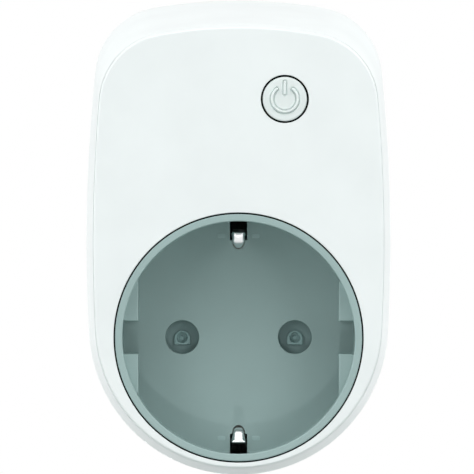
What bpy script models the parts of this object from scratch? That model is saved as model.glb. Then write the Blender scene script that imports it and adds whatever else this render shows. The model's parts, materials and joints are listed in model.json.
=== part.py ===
"""Through-type smart plug with an earthed socket in front and an earthed plug behind.

Metres, +Z up. The face looks along -Y and the pins point along +Y. The socket and
plug axis is the Y axis, and the origin is the middle of the plug's end face.
Every piece is modelled by its depth behind the face, which is Y under one empty.
"""
import math

import bmesh
import bpy
from mathutils import Matrix

MM = 0.001

# Plug and socket sizes, from the standard 19 mm system
PIN_SPACING = 19.0 * MM
PIN_DIAMETER = 4.8 * MM
PIN_LENGTH = 19.0 * MM
RECESS_RADIUS = 19.5 * MM
RECESS_DEPTH = 17.5 * MM
PIN_HOLE_DIAMETER = 5.65 * MM
LEDGE_WIDTH = 2.65 * MM
LEDGE_SETBACK = 4.0 * MM
GUIDE_NOTCH_WIDTH = 5.55 * MM
EARTH_SLOT_WIDTH = 2.9 * MM
EARTH_SLOT_LENGTH = 3.2 * MM
EARTH_NOSE_INSET = 4.6 * MM
EARTH_TIP_INSET = 1.9 * MM
EARTH_NOSE_DEPTH = 8.5 * MM
EARTH_TIP_DEPTH = 3.8 * MM
EARTH_PIN_OFFSET = 10.0 * MM
EARTH_PIN_BORE = 5.0 * MM
BOSS_RADIUS = 18.4 * MM
BOSS_LENGTH = 17.0 * MM
BOSS_FLAT_HALF_SPAN = 16.6 * MM
BOSS_RIB_WIDTH = 5.0 * MM

# Body outline: the face is smaller than the wall end, so the sides flare
BODY_DEPTH = 40.0 * MM
RIM_WIDTH = 1.1 * MM
RIM_GAP = 0.25 * MM
FACE_SIDE_MARGIN = 3.5 * MM
FACE_BOTTOM_MARGIN = 0.75 * MM
FACE_TOP_MARGIN = 12.1 * MM
FACE_TOP_RADIUS = 72.0 * MM
CORNER_RADIUS = 12.0 * MM
SIDE_RADIUS = 280.0 * MM
WIDEST_HEIGHT = 16.0 * MM
FLARE_SIDE = 1.47 * MM
FLARE_BOTTOM = 1.9 * MM
FLARE_TOP = 5.15 * MM
FLARE_TOP_RADIUS = 13.0 * MM
WALL = 2.0 * MM
EDGE_RADIUS = 0.5 * MM
REAR_EDGE_RADIUS = 1.6 * MM
SEAM = 0.3 * MM
SEAM_LEDGE = 0.12 * MM
LIP_WALL = 1.2 * MM
LIP_LENGTH = 3.0 * MM

# Fits and stock
FIT = 0.3 * MM
SINK = 0.2 * MM
SHEET = 0.8 * MM
FLOOR = 2.0 * MM
CUP_WALL = 0.8 * MM

# Button and its switch
BUTTON_X = 7.8 * MM
BUTTON_Z = 39.9 * MM
BUTTON_DIAMETER = 7.6 * MM
BUTTON_GAP = 0.28 * MM
BUTTON_FLANGE = 0.7 * MM
BUTTON_FLANGE_STEP = 0.7 * MM
BUTTON_STEM_DIAMETER = 3.2 * MM
BUTTON_TRAVEL = 0.7 * MM
SWITCH_SIDE = 6.0 * MM
SWITCH_HEIGHT = 3.4 * MM
PLUNGER_DIAMETER = 3.4 * MM
PLUNGER_STAND = 1.2 * MM
PLUNGER_LENGTH = 2.4 * MM
PLUNGER_TRAVEL = 0.5 * MM

# Board and parts on it
BOARD_THICKNESS = 1.6 * MM
BOARD_STANDOFF = 7.7 * MM
BOARD_MARGIN = 0.6 * MM
RELAY_SIZE = (28.6 * MM, 15.4 * MM, 12.4 * MM)
RELAY_BASE = 1.6 * MM
TRANSFORMER_SIZE = (10.0 * MM, 12.0 * MM, 7.4 * MM)
CAPACITOR_RADIUS = 3.4 * MM
CAPACITOR_LENGTH = 11.5 * MM
VARISTOR_RADIUS = 4.0 * MM
VARISTOR_THICKNESS = 3.8 * MM
FUSE_RADIUS = 1.5 * MM
FUSE_LENGTH = 9.0 * MM
RADIO_SIZE = (13.6 * MM, 13.4 * MM)
RADIO_BOARD = 0.8 * MM
SHIELD_HEIGHT = 1.8 * MM
SHIELD_BORDER = 1.2 * MM
PART_GAP = 0.6 * MM

# Screws
SCREW_DIAMETER = 2.6 * MM
SCREW_HEAD_DIAMETER = 4.8 * MM
SCREW_HEAD_HEIGHT = 2.0 * MM
SCREW_BOSS_RADIUS = 3.0 * MM
SCREW_GRIP = 5.0 * MM
SCREW_SUNK = 0.8 * MM
DRIVE_WIDTH = 0.8 * MM
DRIVE_SPAN = 2.8 * MM
DRIVE_DEPTH = 1.0 * MM
TOP_SCREW_INSET_X = 9.6 * MM
TOP_SCREW_INSET_Z = 7.6 * MM
CARRIER_SCREW_DIAMETER = 1.8 * MM
CARRIER_SCREW_INSET = 2.15 * MM
CARRIER_SCREW_TURN = math.radians(48.5)
CARRIER_POST_RADIUS = 1.9 * MM

# Shutter
SHUTTER_HALF_WIDTH = 13.0 * MM
SHUTTER_THICKNESS = 2.5 * MM
SHUTTER_TRAVEL = 6.2 * MM
SHUTTER_COVER = 4.0 * MM
SHUTTER_WINDOW_DIAMETER = 6.2 * MM
SHUTTER_RAIL = 2.2 * MM
SPRING_WIRE = 0.4 * MM
SPRING_MEAN_DIAMETER = 1.7 * MM
SPRING_LENGTH = 9.0 * MM
SPRING_TURNS = 7
CARRIER_EDGE = 0.5 * MM
CARRIER_PLATE = 1.4 * MM
STOP_HALF_WIDTH = 3.0 * MM
STOP_HEIGHT = 1.5 * MM

# Contacts and links
CONTACT_LENGTH = 10.0 * MM
CONTACT_SHEET = 0.6 * MM
CONTACT_DROP = 3.2 * MM
CONTACT_BRIDGE = 3.6 * MM
TROUGH_WALL = 0.9 * MM
BUS_WIDTH = 4.0 * MM
LIVE_IN_WIDTH = 3.0 * MM
LIVE_IN_X = 5.3 * MM
LIVE_IN_Z = 14.0 * MM
NEUTRAL_Z = 10.5 * MM
EARTH_STRIP_WIDTH = 2.3 * MM
EARTH_STRAP_WIDTH = 4.0 * MM
EARTH_GROOVE_DEPTH = 1.2 * MM
EARTH_STRIP_END_MARGIN = 2.5 * MM
EARTH_POST_RADIUS = 2.0 * MM
SLEEVE_WALL = 0.8 * MM
PIN_FLANGE_RADIUS = 3.7 * MM
PIN_FLANGE = 1.2 * MM
PIN_TAIL_RADIUS = 1.5 * MM
PIN_TAIL_LENGTH = 6.8 * MM
PIN_CARRIER_THICKNESS = 2.6 * MM

# Places that follow from the sizes above
RIM_RADIUS = RECESS_RADIUS + RIM_WIDTH
HOLE_RADIUS = RIM_RADIUS + RIM_GAP
CUP_RADIUS = RECESS_RADIUS + CUP_WALL
LEDGE_HALF_SPAN = RECESS_RADIUS - LEDGE_WIDTH
EARTH_SLOT_INNER = RECESS_RADIUS - EARTH_SLOT_LENGTH
EARTH_NOSE_RADIUS = RECESS_RADIUS - EARTH_NOSE_INSET
EARTH_TIP_RADIUS = RECESS_RADIUS - EARTH_TIP_INSET
CARRIER_RADIUS = RECESS_RADIUS - CARRIER_EDGE
CARRIER_SCREW_RADIUS = RECESS_RADIUS - CARRIER_SCREW_INSET
PIN_X = PIN_SPACING / 2
PIN_HOLE_RADIUS = PIN_HOLE_DIAMETER / 2
COVER = WALL
FACE_TOP = BUTTON_Z + FACE_TOP_MARGIN
FACE_BOTTOM = -(HOLE_RADIUS + FACE_BOTTOM_MARGIN)
FACE_HALF_WIDTH = HOLE_RADIUS + FACE_SIDE_MARGIN
PLUG_FACE = BODY_DEPTH + BOSS_LENGTH
FLOOR_REAR = RECESS_DEPTH + FLOOR
SHUTTER_FRONT = FLOOR_REAR + FIT
SHUTTER_REAR = SHUTTER_FRONT + SHUTTER_THICKNESS
SHUTTER_BOTTOM = -(SHUTTER_TRAVEL + SHUTTER_COVER)
CARRIER_FRONT = SHUTTER_REAR + FIT
CARRIER_REAR = CARRIER_FRONT + CARRIER_PLATE
CONTACT_FRONT = CARRIER_REAR + FIT
CONTACT_REAR = CONTACT_FRONT + CONTACT_LENGTH
CONTACT_GAP = PIN_DIAMETER / 2
CONTACT_OUTER = CONTACT_GAP + CONTACT_SHEET
CONTACT_TOP = CONTACT_BRIDGE + CONTACT_SHEET
TROUGH_INNER = CONTACT_OUTER + FIT
TROUGH_OUTER = TROUGH_INNER + TROUGH_WALL
REAR_INNER = BODY_DEPTH - WALL
FRAME_REAR = REAR_INNER - FIT
FRAME_FRONT = FRAME_REAR - SHEET
BOSS_INNER_RADIUS = BOSS_RADIUS - WALL
BOSS_END_INNER = PLUG_FACE - WALL
GROOVE_FLOOR = BOSS_RADIUS - EARTH_GROOVE_DEPTH
PIN_FLANGE_REAR = BOSS_END_INNER - FIT
PIN_FLANGE_FRONT = PIN_FLANGE_REAR - PIN_FLANGE
PIN_TAIL_FRONT = PIN_FLANGE_FRONT - PIN_TAIL_LENGTH
BOARD_FRONT = COVER + BOARD_STANDOFF + FIT
BOARD_REAR = BOARD_FRONT + BOARD_THICKNESS
PARTS_FRONT = BOARD_REAR + FIT
BOARD_BOTTOM = HOLE_RADIUS + WALL
BUS_LANDING = BOARD_BOTTOM + BUS_WIDTH / 4
SWITCH_REAR = BOARD_FRONT - FIT
SWITCH_FRONT = SWITCH_REAR - SWITCH_HEIGHT
PLUNGER_FRONT = SWITCH_FRONT - PLUNGER_STAND
BUTTON_STEM_END = PLUNGER_FRONT - FIT
LOW_SCREW_X = FACE_HALF_WIDTH - WALL - FIT - SCREW_BOSS_RADIUS
LOW_SCREW_Z = HOLE_RADIUS + FIT + SCREW_BOSS_RADIUS + PART_GAP
TOP_SCREW_X = FACE_HALF_WIDTH - TOP_SCREW_INSET_X
TOP_SCREW_Z = FACE_TOP - TOP_SCREW_INSET_Z
SCREWS = [(side * x, z) for x, z in ((LOW_SCREW_X, LOW_SCREW_Z), (TOP_SCREW_X, TOP_SCREW_Z))
          for side in (-1, 1)]
SCREW_HOLE = SCREW_DIAMETER / 2 + FIT
HEAD_FRONT = BODY_DEPTH - SCREW_SUNK - SCREW_HEAD_HEIGHT
RELAY_BOTTOM = LOW_SCREW_Z + SCREW_BOSS_RADIUS + FIT
ROW_ABOVE_RELAY = RELAY_BOTTOM + RELAY_SIZE[2] + PART_GAP

# Turned and flat shapes are drawn in the XY plane, then laid into the body's axes
ALONG_DEPTH = Matrix(((1, 0, 0, 0), (0, 0, -1, 0), (0, 1, 0, 0), (0, 0, 0, 1)))
ALONG_X = Matrix(((0, 0, 1, 0), (1, 0, 0, 0), (0, 1, 0, 0), (0, 0, 0, 1)))


def clear_scene():
    for old in list(bpy.data.objects):
        bpy.data.objects.remove(old)


def collection(name):
    made = bpy.data.collections.new(name)
    bpy.context.scene.collection.children.link(made)
    return made


clear_scene()
PARTS = collection("smart_plug")
TOOLS = collection("cutters")
FACE = bpy.data.objects.new("face_plane", None)
FACE.location.y = -PLUG_FACE
PARTS.objects.link(FACE)


def material(name, colour, roughness, metallic=0.0):
    made = bpy.data.materials.new(name)
    made.use_nodes = True
    shader = made.node_tree.nodes["Principled BSDF"]
    shader.inputs["Base Color"].default_value = (*colour, 1.0)
    shader.inputs["Roughness"].default_value = roughness
    shader.inputs["Metallic"].default_value = metallic
    return made


WHITE = material("white_plastic", (0.86, 0.89, 0.88), 0.45)
GREY = material("grey_plastic", (0.38, 0.47, 0.47), 0.5)
DARK_GREY = material("shutter_plastic", (0.2, 0.25, 0.27), 0.5)
CREAM = material("carrier_plastic", (0.75, 0.73, 0.66), 0.5)
SPRING_STEEL = material("spring_steel", (0.62, 0.62, 0.6), 0.3, 1.0)
NICKEL = material("nickel_plate", (0.72, 0.7, 0.66), 0.22, 1.0)
BRASS = material("brass", (0.75, 0.58, 0.26), 0.3, 1.0)
ZINC = material("zinc_screw", (0.58, 0.58, 0.6), 0.35, 1.0)
BOARD_GREEN = material("board_laminate", (0.05, 0.2, 0.1), 0.4)
BLACK = material("black_plastic", (0.03, 0.03, 0.03), 0.4)
BLUE = material("blue_coating", (0.05, 0.16, 0.4), 0.35)
TAPE = material("winding_tape", (0.7, 0.55, 0.1), 0.5)


def add(name, mesh, group=TOOLS):
    """Wrap a mesh in an object under the face plane, as a cutter until it is finished."""
    tidy = bmesh.new()
    tidy.from_mesh(mesh)
    bmesh.ops.remove_doubles(tidy, verts=tidy.verts, dist=1e-7)
    bmesh.ops.recalc_face_normals(tidy, faces=tidy.faces)
    tidy.to_mesh(mesh)
    tidy.free()
    made = bpy.data.objects.new(name, mesh)
    made.parent = FACE
    made.hide_render = True
    made.display_type = "WIRE"
    group.objects.link(made)
    return made


def finish(piece, finish_material, origin=(0.0, 0.0)):
    """Turn a cutter into a part, with its origin moved to the (x, z) given."""
    TOOLS.objects.unlink(piece)
    PARTS.objects.link(piece)
    piece.hide_render = False
    piece.display_type = "TEXTURED"
    piece.data.materials.append(finish_material)
    shift = Matrix.Translation((origin[0], 0.0, origin[1]))
    piece.data.transform(shift.inverted())
    piece.matrix_local = shift
    piece.data.shade_smooth()
    piece.data.set_sharp_from_angle(angle=math.radians(35))
    return piece


def combine(piece, operation, tools):
    for tool in tools:
        boolean = piece.modifiers.new(operation.lower(), "BOOLEAN")
        boolean.operation = operation
        boolean.object = tool
    return piece


def cut(piece, *tools):
    return combine(piece, "DIFFERENCE", tools)


def join(piece, *tools):
    return combine(piece, "UNION", tools)


def box(name, x, depth, z):
    """A block between the pairs of limits given for x, depth and z."""
    mesh = bpy.data.meshes.new(name)
    block = bmesh.new()
    bmesh.ops.create_cube(block, size=1.0)
    middle = [(low + high) / 2 for low, high in (x, depth, z)]
    size = [high - low for low, high in (x, depth, z)]
    place = Matrix.Translation(middle) @ Matrix.Diagonal((*size, 1.0))
    bmesh.ops.transform(block, matrix=place, verts=block.verts)
    block.to_mesh(mesh)
    block.free()
    return add(name, mesh)


def rod(name, radius, depth, x=0.0, z=0.0, sides=32, turn=ALONG_DEPTH):
    """A cylinder through (x, z) between two depths, or turned to lie along another axis."""
    mesh = bpy.data.meshes.new(name)
    round_bar = bmesh.new()
    bmesh.ops.create_cone(round_bar, cap_ends=True, segments=sides, radius1=radius, radius2=radius,
                          depth=depth[1] - depth[0])
    place = Matrix.Translation((x, (depth[0] + depth[1]) / 2, z)) @ turn
    bmesh.ops.transform(round_bar, matrix=place, verts=round_bar.verts)
    round_bar.to_mesh(mesh)
    round_bar.free()
    return add(name, mesh)


def evaluated(name, source):
    """The mesh that a curve or a modified object makes, with the source removed."""
    TOOLS.objects.link(source)
    bpy.context.view_layer.update()
    seen = source.evaluated_get(bpy.context.evaluated_depsgraph_get())
    mesh = bpy.data.meshes.new_from_object(seen)
    mesh.name = name
    bpy.data.objects.remove(source)
    return mesh


def turned(name, profile, x=0.0, z=0.0, sides=64):
    """A profile of (radius, depth) points, turned about the depth axis through (x, z)."""
    mesh = bpy.data.meshes.new(name + "_profile")
    mesh.from_pydata([(radius, 0.0, -depth) for radius, depth in profile],
                     [(i, i + 1) for i in range(len(profile) - 1)], [])
    source = bpy.data.objects.new(name + "_profile", mesh)
    screw = source.modifiers.new("turn", "SCREW")
    screw.steps = sides
    screw.render_steps = sides
    screw.use_merge_vertices = True
    screw.merge_threshold = 1e-6
    made = evaluated(name, source)
    made.transform(Matrix.Translation((x, 0.0, z)) @ ALONG_DEPTH)
    return add(name, made)


def flat(name, outline, limits, lay=ALONG_DEPTH):
    """A flat outline given thickness between two limits along the axis it faces."""
    curve = bpy.data.curves.new(name + "_outline", "CURVE")
    curve.dimensions = "2D"
    curve.fill_mode = "BOTH"
    curve.extrude = (limits[1] - limits[0]) / 2
    spline = curve.splines.new("POLY")
    spline.points.add(len(outline) - 1)
    for point, (across, up) in zip(spline.points, outline):
        point.co = (across, up, 0.0, 1.0)
    spline.use_cyclic_u = True
    made = evaluated(name, bpy.data.objects.new(name + "_outline", curve))
    middle = (limits[0] + limits[1]) / 2
    along = (0.0, middle, 0.0) if lay == ALONG_DEPTH else (middle, 0.0, 0.0)
    made.transform(Matrix.Translation(along) @ lay)
    return add(name, made)


def strip(name, path, thickness, x):
    """A strip of sheet bent along (depth, height) points, as wide as the x limits."""
    def side(offset):
        moved = []
        for i, here in enumerate(path):
            turns = []
            for a, b in ((i - 1, i), (i, i + 1)):
                if a >= 0 and b < len(path):
                    run = (path[b][0] - path[a][0], path[b][1] - path[a][1])
                    size = math.hypot(*run)
                    turns.append((-run[1] / size, run[0] / size))
            across = [sum(t[k] for t in turns) for k in (0, 1)]
            share = offset / (turns[0][0] * across[0] + turns[0][1] * across[1])
            moved.append((here[0] + across[0] * share, here[1] + across[1] * share))
        return moved
    return flat(name, side(thickness / 2) + side(-thickness / 2)[::-1], x, ALONG_X)


def arc(centre, radius, start, end, steps):
    """Points on an arc between two angles, without its last point."""
    angles = [start + (end - start) * i / steps for i in range(steps)]
    return [(centre[0] + radius * math.cos(a), centre[1] + radius * math.sin(a)) for a in angles]


def body_outline(depth, inset=0.0):
    """The body's outline at a depth, drawn in by an inset: four tangent arcs on each side."""
    share = depth / BODY_DEPTH
    half = FACE_HALF_WIDTH + FLARE_SIDE * share - inset
    top = FACE_TOP + FLARE_TOP * share - inset
    bottom = FACE_BOTTOM - FLARE_BOTTOM * share + inset
    top_radius = FACE_TOP_RADIUS + FLARE_TOP_RADIUS * share - inset
    side_radius = SIDE_RADIUS - inset
    corner = CORNER_RADIUS - inset
    side_centre = (half - side_radius, WIDEST_HEIGHT)
    top_centre = (0.0, top - top_radius)
    rise = WIDEST_HEIGHT - bottom
    low_radius = (side_radius ** 2 - side_centre[0] ** 2 - rise ** 2) / (2 * (side_radius - rise))
    low_centre = (0.0, bottom + low_radius)
    apart = math.dist(side_centre, top_centre)
    along = ((side_radius - corner) ** 2 - (top_radius - corner) ** 2 + apart ** 2) / (2 * apart)
    off = math.sqrt((side_radius - corner) ** 2 - along ** 2)
    way = ((top_centre[0] - side_centre[0]) / apart, (top_centre[1] - side_centre[1]) / apart)
    corner_centre = (side_centre[0] + way[0] * along - way[1] * off,
                     side_centre[1] + way[1] * along + way[0] * off)

    def angle(centre, point):
        return math.atan2(point[1] - centre[1], point[0] - centre[0])
    low_end = angle(side_centre, low_centre)
    side_end = angle(side_centre, corner_centre)
    top_start = angle(top_centre, corner_centre)
    right = arc(low_centre, low_radius, -math.pi / 2, low_end, 12)
    right += arc(side_centre, side_radius, low_end, side_end, 5)
    right += arc(corner_centre, corner, side_end, top_start, 8)
    right += arc(top_centre, top_radius, top_start, math.pi / 2, 4)
    left = [(-x, z) for x, z in reversed(right[1:])]
    return right + [(0.0, top)] + left


def loft(name, sections):
    """A closed solid through outlines of equal length, given as (depth, points) pairs."""
    mesh = bpy.data.meshes.new(name)
    skin = bmesh.new()
    rings = [[skin.verts.new((x, depth, z)) for x, z in points] for depth, points in sections]
    for first, second in zip(rings, rings[1:]):
        for i in range(len(first)):
            k = (i + 1) % len(first)
            skin.faces.new((first[i], first[k], second[k], second[i]))
    skin.faces.new(rings[0])
    skin.faces.new(rings[-1])
    skin.to_mesh(mesh)
    skin.free()
    return add(name, mesh)


def rounded_edge(radius, steps=3):
    """(inset, rise) pairs of a quarter round, from its flat to its side."""
    turns = [math.pi / 2 * i / steps for i in range(steps + 1)]
    return [(radius * (1 - math.sin(t)), radius * (1 - math.cos(t))) for t in turns]


def make_front_cover():
    edge = [(rise, body_outline(0.0, inset)) for inset, rise in rounded_edge(EDGE_RADIUS)]
    plate = loft("front_cover", edge + [(COVER, body_outline(0.0))])
    lip_inset = WALL + FIT
    lip_end = COVER + LIP_LENGTH
    lip = loft("cover_lip", [(d, body_outline(0.0, lip_inset)) for d in (COVER - SINK, lip_end)])
    lip_inner = body_outline(0.0, lip_inset + LIP_WALL)
    hollow = loft("cover_lip_hollow", [(0.0, lip_inner), (lip_end + COVER, lip_inner)])
    below = box("cover_lip_end", (-BODY_DEPTH, BODY_DEPTH), (0.0, BODY_DEPTH), (-BODY_DEPTH, BOARD_BOTTOM))
    cut(lip, hollow, below)
    boss = (COVER - SINK, COVER + BOARD_STANDOFF)
    bosses = [rod("cover_boss", SCREW_BOSS_RADIUS, boss, x, z, 24) for x, z in SCREWS]
    bores = [rod("cover_bore", SCREW_HOLE, (COVER + FIT, BOARD_FRONT), x, z, 16) for x, z in SCREWS]
    hole = rod("socket_hole", HOLE_RADIUS, (-COVER, COVER * 2), sides=96)
    button_room = BUTTON_DIAMETER / 2 + BUTTON_GAP
    button_hole = rod("button_hole", button_room, (-COVER, COVER + FIT), BUTTON_X, BUTTON_Z, 48)
    finish(cut(join(plate, lip, *bosses), hole, button_hole, *bores), WHITE)


def make_rear_housing():
    front = COVER + SEAM
    edge = [(BODY_DEPTH - rise, body_outline(BODY_DEPTH - rise, inset))
            for inset, rise in rounded_edge(REAR_EDGE_RADIUS)]
    shell = loft("rear_housing", [(front, body_outline(front, -SEAM_LEDGE))] + edge[::-1])
    hollow = loft("housing_hollow", [(d, body_outline(d, WALL)) for d in (0.0, REAR_INNER)])
    cut(shell, hollow, rod("insert_room", RIM_RADIUS + FIT, (0.0, CARRIER_REAR), sides=96))
    boss = rod("plug_boss", BOSS_RADIUS, (BODY_DEPTH - WALL / 2, PLUG_FACE), sides=96)
    rib = BOSS_RIB_WIDTH / 2
    tall = BOSS_RADIUS * 2
    behind = (BODY_DEPTH, PLUG_FACE * 2)
    for side in (-1, 1):
        across = sorted((side * BOSS_FLAT_HALF_SPAN, side * tall))
        for height in ((rib, tall), (-tall, -rib)):
            cut(boss, box("boss_flat", across, behind, height))
    tower = (PARTS_FRONT, BODY_DEPTH - WALL / 2)
    towers = [rod("screw_tower", SCREW_BOSS_RADIUS, tower, x, z, 24) for x, z in SCREWS]
    join(shell, boss, *towers)
    cut(shell, rod("boss_hollow", BOSS_INNER_RADIUS, (REAR_INNER - SINK, BOSS_END_INNER), sides=64))
    half = EARTH_STRAP_WIDTH / 2 + FIT
    end_wall = (BOSS_END_INNER - SINK, PLUG_FACE + SINK)
    for side in (-1, 1):
        depth = (REAR_INNER - SINK, PLUG_FACE - EARTH_STRIP_END_MARGIN + FIT)
        height = sorted((side * GROOVE_FLOOR, side * (BOSS_RADIUS + FIT)))
        cut(shell, box("earth_groove", (-half, half), depth, height))
        cut(shell, rod("pin_hole", PIN_DIAMETER / 2 + FIT, end_wall, side * PIN_X, 0.0))
    cut(shell, rod("earth_hole", EARTH_PIN_BORE / 2, end_wall, 0.0, EARTH_PIN_OFFSET))
    for x, z in SCREWS:
        cut(shell, rod("tower_bore", SCREW_HOLE, (BOARD_FRONT, BODY_DEPTH), x, z, 16))
        head = SCREW_HEAD_DIAMETER / 2 + FIT
        cut(shell, rod("head_room", head, (HEAD_FRONT - FIT, BODY_DEPTH + SINK), x, z, 24))
    finish(shell, WHITE)


def make_socket_insert():
    rim_rear = COVER
    cup = turned("socket_insert", [
        (0.0, FLOOR_REAR), (CUP_RADIUS, FLOOR_REAR), (CUP_RADIUS, rim_rear), (RIM_RADIUS, rim_rear),
        (RIM_RADIUS, 0.0), (RECESS_RADIUS, 0.0), (RECESS_RADIUS, RECESS_DEPTH), (0.0, RECESS_DEPTH),
    ], sides=96)
    ledge_depth = (LEDGE_SETBACK, RECESS_DEPTH + SINK)
    notch = GUIDE_NOTCH_WIDTH / 2
    for side in (-1, 1):
        ledge = rod("ledge", RECESS_RADIUS + CUP_WALL / 2, ledge_depth, sides=96)
        inner = sorted((-side * BODY_DEPTH, side * LEDGE_HALF_SPAN))
        cut(ledge, box("ledge_face", inner, (0.0, BODY_DEPTH), (-BODY_DEPTH, BODY_DEPTH)))
        outer = sorted((0.0, side * BODY_DEPTH))
        cut(ledge, box("guide_notch", outer, (0.0, BODY_DEPTH), (-notch, notch)))
        join(cup, ledge)
    post = (FLOOR_REAR - SINK, SHUTTER_REAR)
    join(cup, *[rod("carrier_post", CARRIER_POST_RADIUS, post, x, z, 20) for x, z in carrier_screws()])
    floor = (RECESS_DEPTH - SINK, FLOOR_REAR + SINK)
    half = EARTH_SLOT_WIDTH / 2
    for side in (-1, 1):
        slot = sorted((side * EARTH_SLOT_INNER, side * (RECESS_RADIUS - SINK)))
        cut(cup, box("earth_slot", (-half, half), floor, slot))
        cut(cup, rod("pin_hole", PIN_HOLE_RADIUS, floor, side * PIN_X, 0.0))
    for x, z in carrier_screws():
        bore = (FLOOR_REAR - SINK / 2, SHUTTER_REAR + SINK)
        cut(cup, rod("post_bore", CARRIER_SCREW_DIAMETER / 2 + FIT, bore, x, z, 16))
    finish(cup, GREY)


def carrier_screws():
    x = CARRIER_SCREW_RADIUS * math.cos(CARRIER_SCREW_TURN)
    z = CARRIER_SCREW_RADIUS * math.sin(CARRIER_SCREW_TURN)
    return [(-x, -z), (x, z)]


def make_button():
    radius = BUTTON_DIAMETER / 2
    flange = COVER + FIT
    stem = BUTTON_STEM_DIAMETER / 2
    wide = radius + BUTTON_GAP + BUTTON_FLANGE_STEP
    flange_rear = flange + BUTTON_FLANGE
    cap = turned("button_cap", [
        (0.0, BUTTON_STEM_END), (stem, BUTTON_STEM_END), (stem, flange_rear), (wide, flange_rear),
        (wide, flange), (radius, flange), (radius, EDGE_RADIUS), (radius - EDGE_RADIUS, 0.0), (0.0, 0.0),
    ], BUTTON_X, BUTTON_Z, 48)
    finish(cap, WHITE, (BUTTON_X, BUTTON_Z))
    half = SWITCH_SIDE / 2
    body = box("tact_switch_body", (BUTTON_X - half, BUTTON_X + half), (SWITCH_FRONT, SWITCH_REAR),
               (BUTTON_Z - half, BUTTON_Z + half))
    plunger_end = PLUNGER_FRONT + PLUNGER_LENGTH
    plunger_radius = PLUNGER_DIAMETER / 2
    room_end = plunger_end + PLUNGER_TRAVEL + FIT
    room = rod("plunger_room", plunger_radius + FIT, (0.0, room_end), BUTTON_X, BUTTON_Z)
    finish(cut(body, room), BLACK)
    plunger = rod("tact_switch_plunger", plunger_radius, (PLUNGER_FRONT, plunger_end), BUTTON_X, BUTTON_Z)
    finish(plunger, CREAM, (BUTTON_X, BUTTON_Z))


def make_board():
    outline = [(x, z) for x, z in body_outline(0.0, WALL + BOARD_MARGIN) if z > BOARD_BOTTOM]
    right = [p for p in outline if p[0] > 0]
    edge = right[0][0]
    shape = [(-edge, BOARD_BOTTOM), (edge, BOARD_BOTTOM)] + outline
    board = flat("main_board", shape, (BOARD_FRONT, BOARD_REAR))
    holes = [rod("board_hole", SCREW_HOLE, (0.0, BODY_DEPTH), x, z, 16) for x, z in SCREWS]
    finish(cut(board, *holes), BOARD_GREEN)


def make_board_parts():
    length, tall, deep = RELAY_SIZE
    half = length / 2
    z = (RELAY_BOTTOM, RELAY_BOTTOM + deep)
    base_rear = PARTS_FRONT + RELAY_BASE
    finish(box("relay_base", (-half, half), (PARTS_FRONT, base_rear), z), BLACK)
    finish(box("relay_case", (-half, half), (base_rear + FIT, PARTS_FRONT + tall), z), BLUE)
    wide, tall, deep = TRANSFORMER_SIZE
    can_x = TOP_SCREW_X - SCREW_BOSS_RADIUS - PART_GAP - CAPACITOR_RADIUS
    can_z = ROW_ABOVE_RELAY + CAPACITOR_RADIUS + FIT
    depth = (PARTS_FRONT, PARTS_FRONT + CAPACITOR_LENGTH)
    finish(rod("capacitor", CAPACITOR_RADIUS, depth, can_x, can_z, 32), BLACK)
    right = can_x - CAPACITOR_RADIUS - PART_GAP
    x = (right - wide, right)
    depth = (PARTS_FRONT, PARTS_FRONT + tall)
    finish(box("transformer", x, depth, (ROW_ABOVE_RELAY, ROW_ABOVE_RELAY + deep)), TAPE)
    disc_z = BOARD_BOTTOM + VARISTOR_THICKNESS / 2 + FIT
    disc = rod("varistor", VARISTOR_RADIUS, (-VARISTOR_THICKNESS / 2, VARISTOR_THICKNESS / 2), turn=Matrix())
    disc_x = (LIVE_IN_X - LIVE_IN_WIDTH / 2 - PIN_X + BUS_WIDTH / 2) / 2
    disc.data.transform(Matrix.Translation((disc_x, PARTS_FRONT + VARISTOR_RADIUS, disc_z)))
    finish(disc, BLUE)
    fuse_z = BUS_LANDING + SHEET / 2 + FIT + FUSE_RADIUS
    depth = (PARTS_FRONT, PARTS_FRONT + FUSE_LENGTH)
    finish(rod("fuse_resistor", FUSE_RADIUS, depth, PIN_X, fuse_z, 24), CREAM)
    radio_rear = BOARD_FRONT - FIT
    radio_front = radio_rear - RADIO_BOARD
    right = BUTTON_X - SWITCH_SIDE / 2 - SWITCH_SIDE
    x = (right - RADIO_SIZE[0], right)
    z = (LOW_SCREW_Z + SCREW_BOSS_RADIUS, LOW_SCREW_Z + SCREW_BOSS_RADIUS + RADIO_SIZE[1])
    finish(box("radio_board", x, (radio_front, radio_rear), z), BOARD_GREEN)
    can_x = (x[0] + SHIELD_BORDER, x[1] - SHIELD_BORDER)
    can_z = (z[0] + SHIELD_BORDER, z[1] - SHIELD_BORDER)
    finish(box("radio_shield", can_x, (radio_front - FIT - SHIELD_HEIGHT, radio_front - FIT), can_z), NICKEL)


def make_shutter():
    width = (-SHUTTER_HALF_WIDTH, SHUTTER_HALF_WIDTH)
    plate = box("shutter_slider", width, (SHUTTER_FRONT, SHUTTER_REAR), (SHUTTER_BOTTOM, SHUTTER_COVER))
    for side in (-1, 1):
        window = rod("window", SHUTTER_WINDOW_DIAMETER / 2, (0.0, BODY_DEPTH), side * PIN_X, -SHUTTER_TRAVEL)
        cut(plate, window)
    finish(plate, DARK_GREY)


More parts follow.
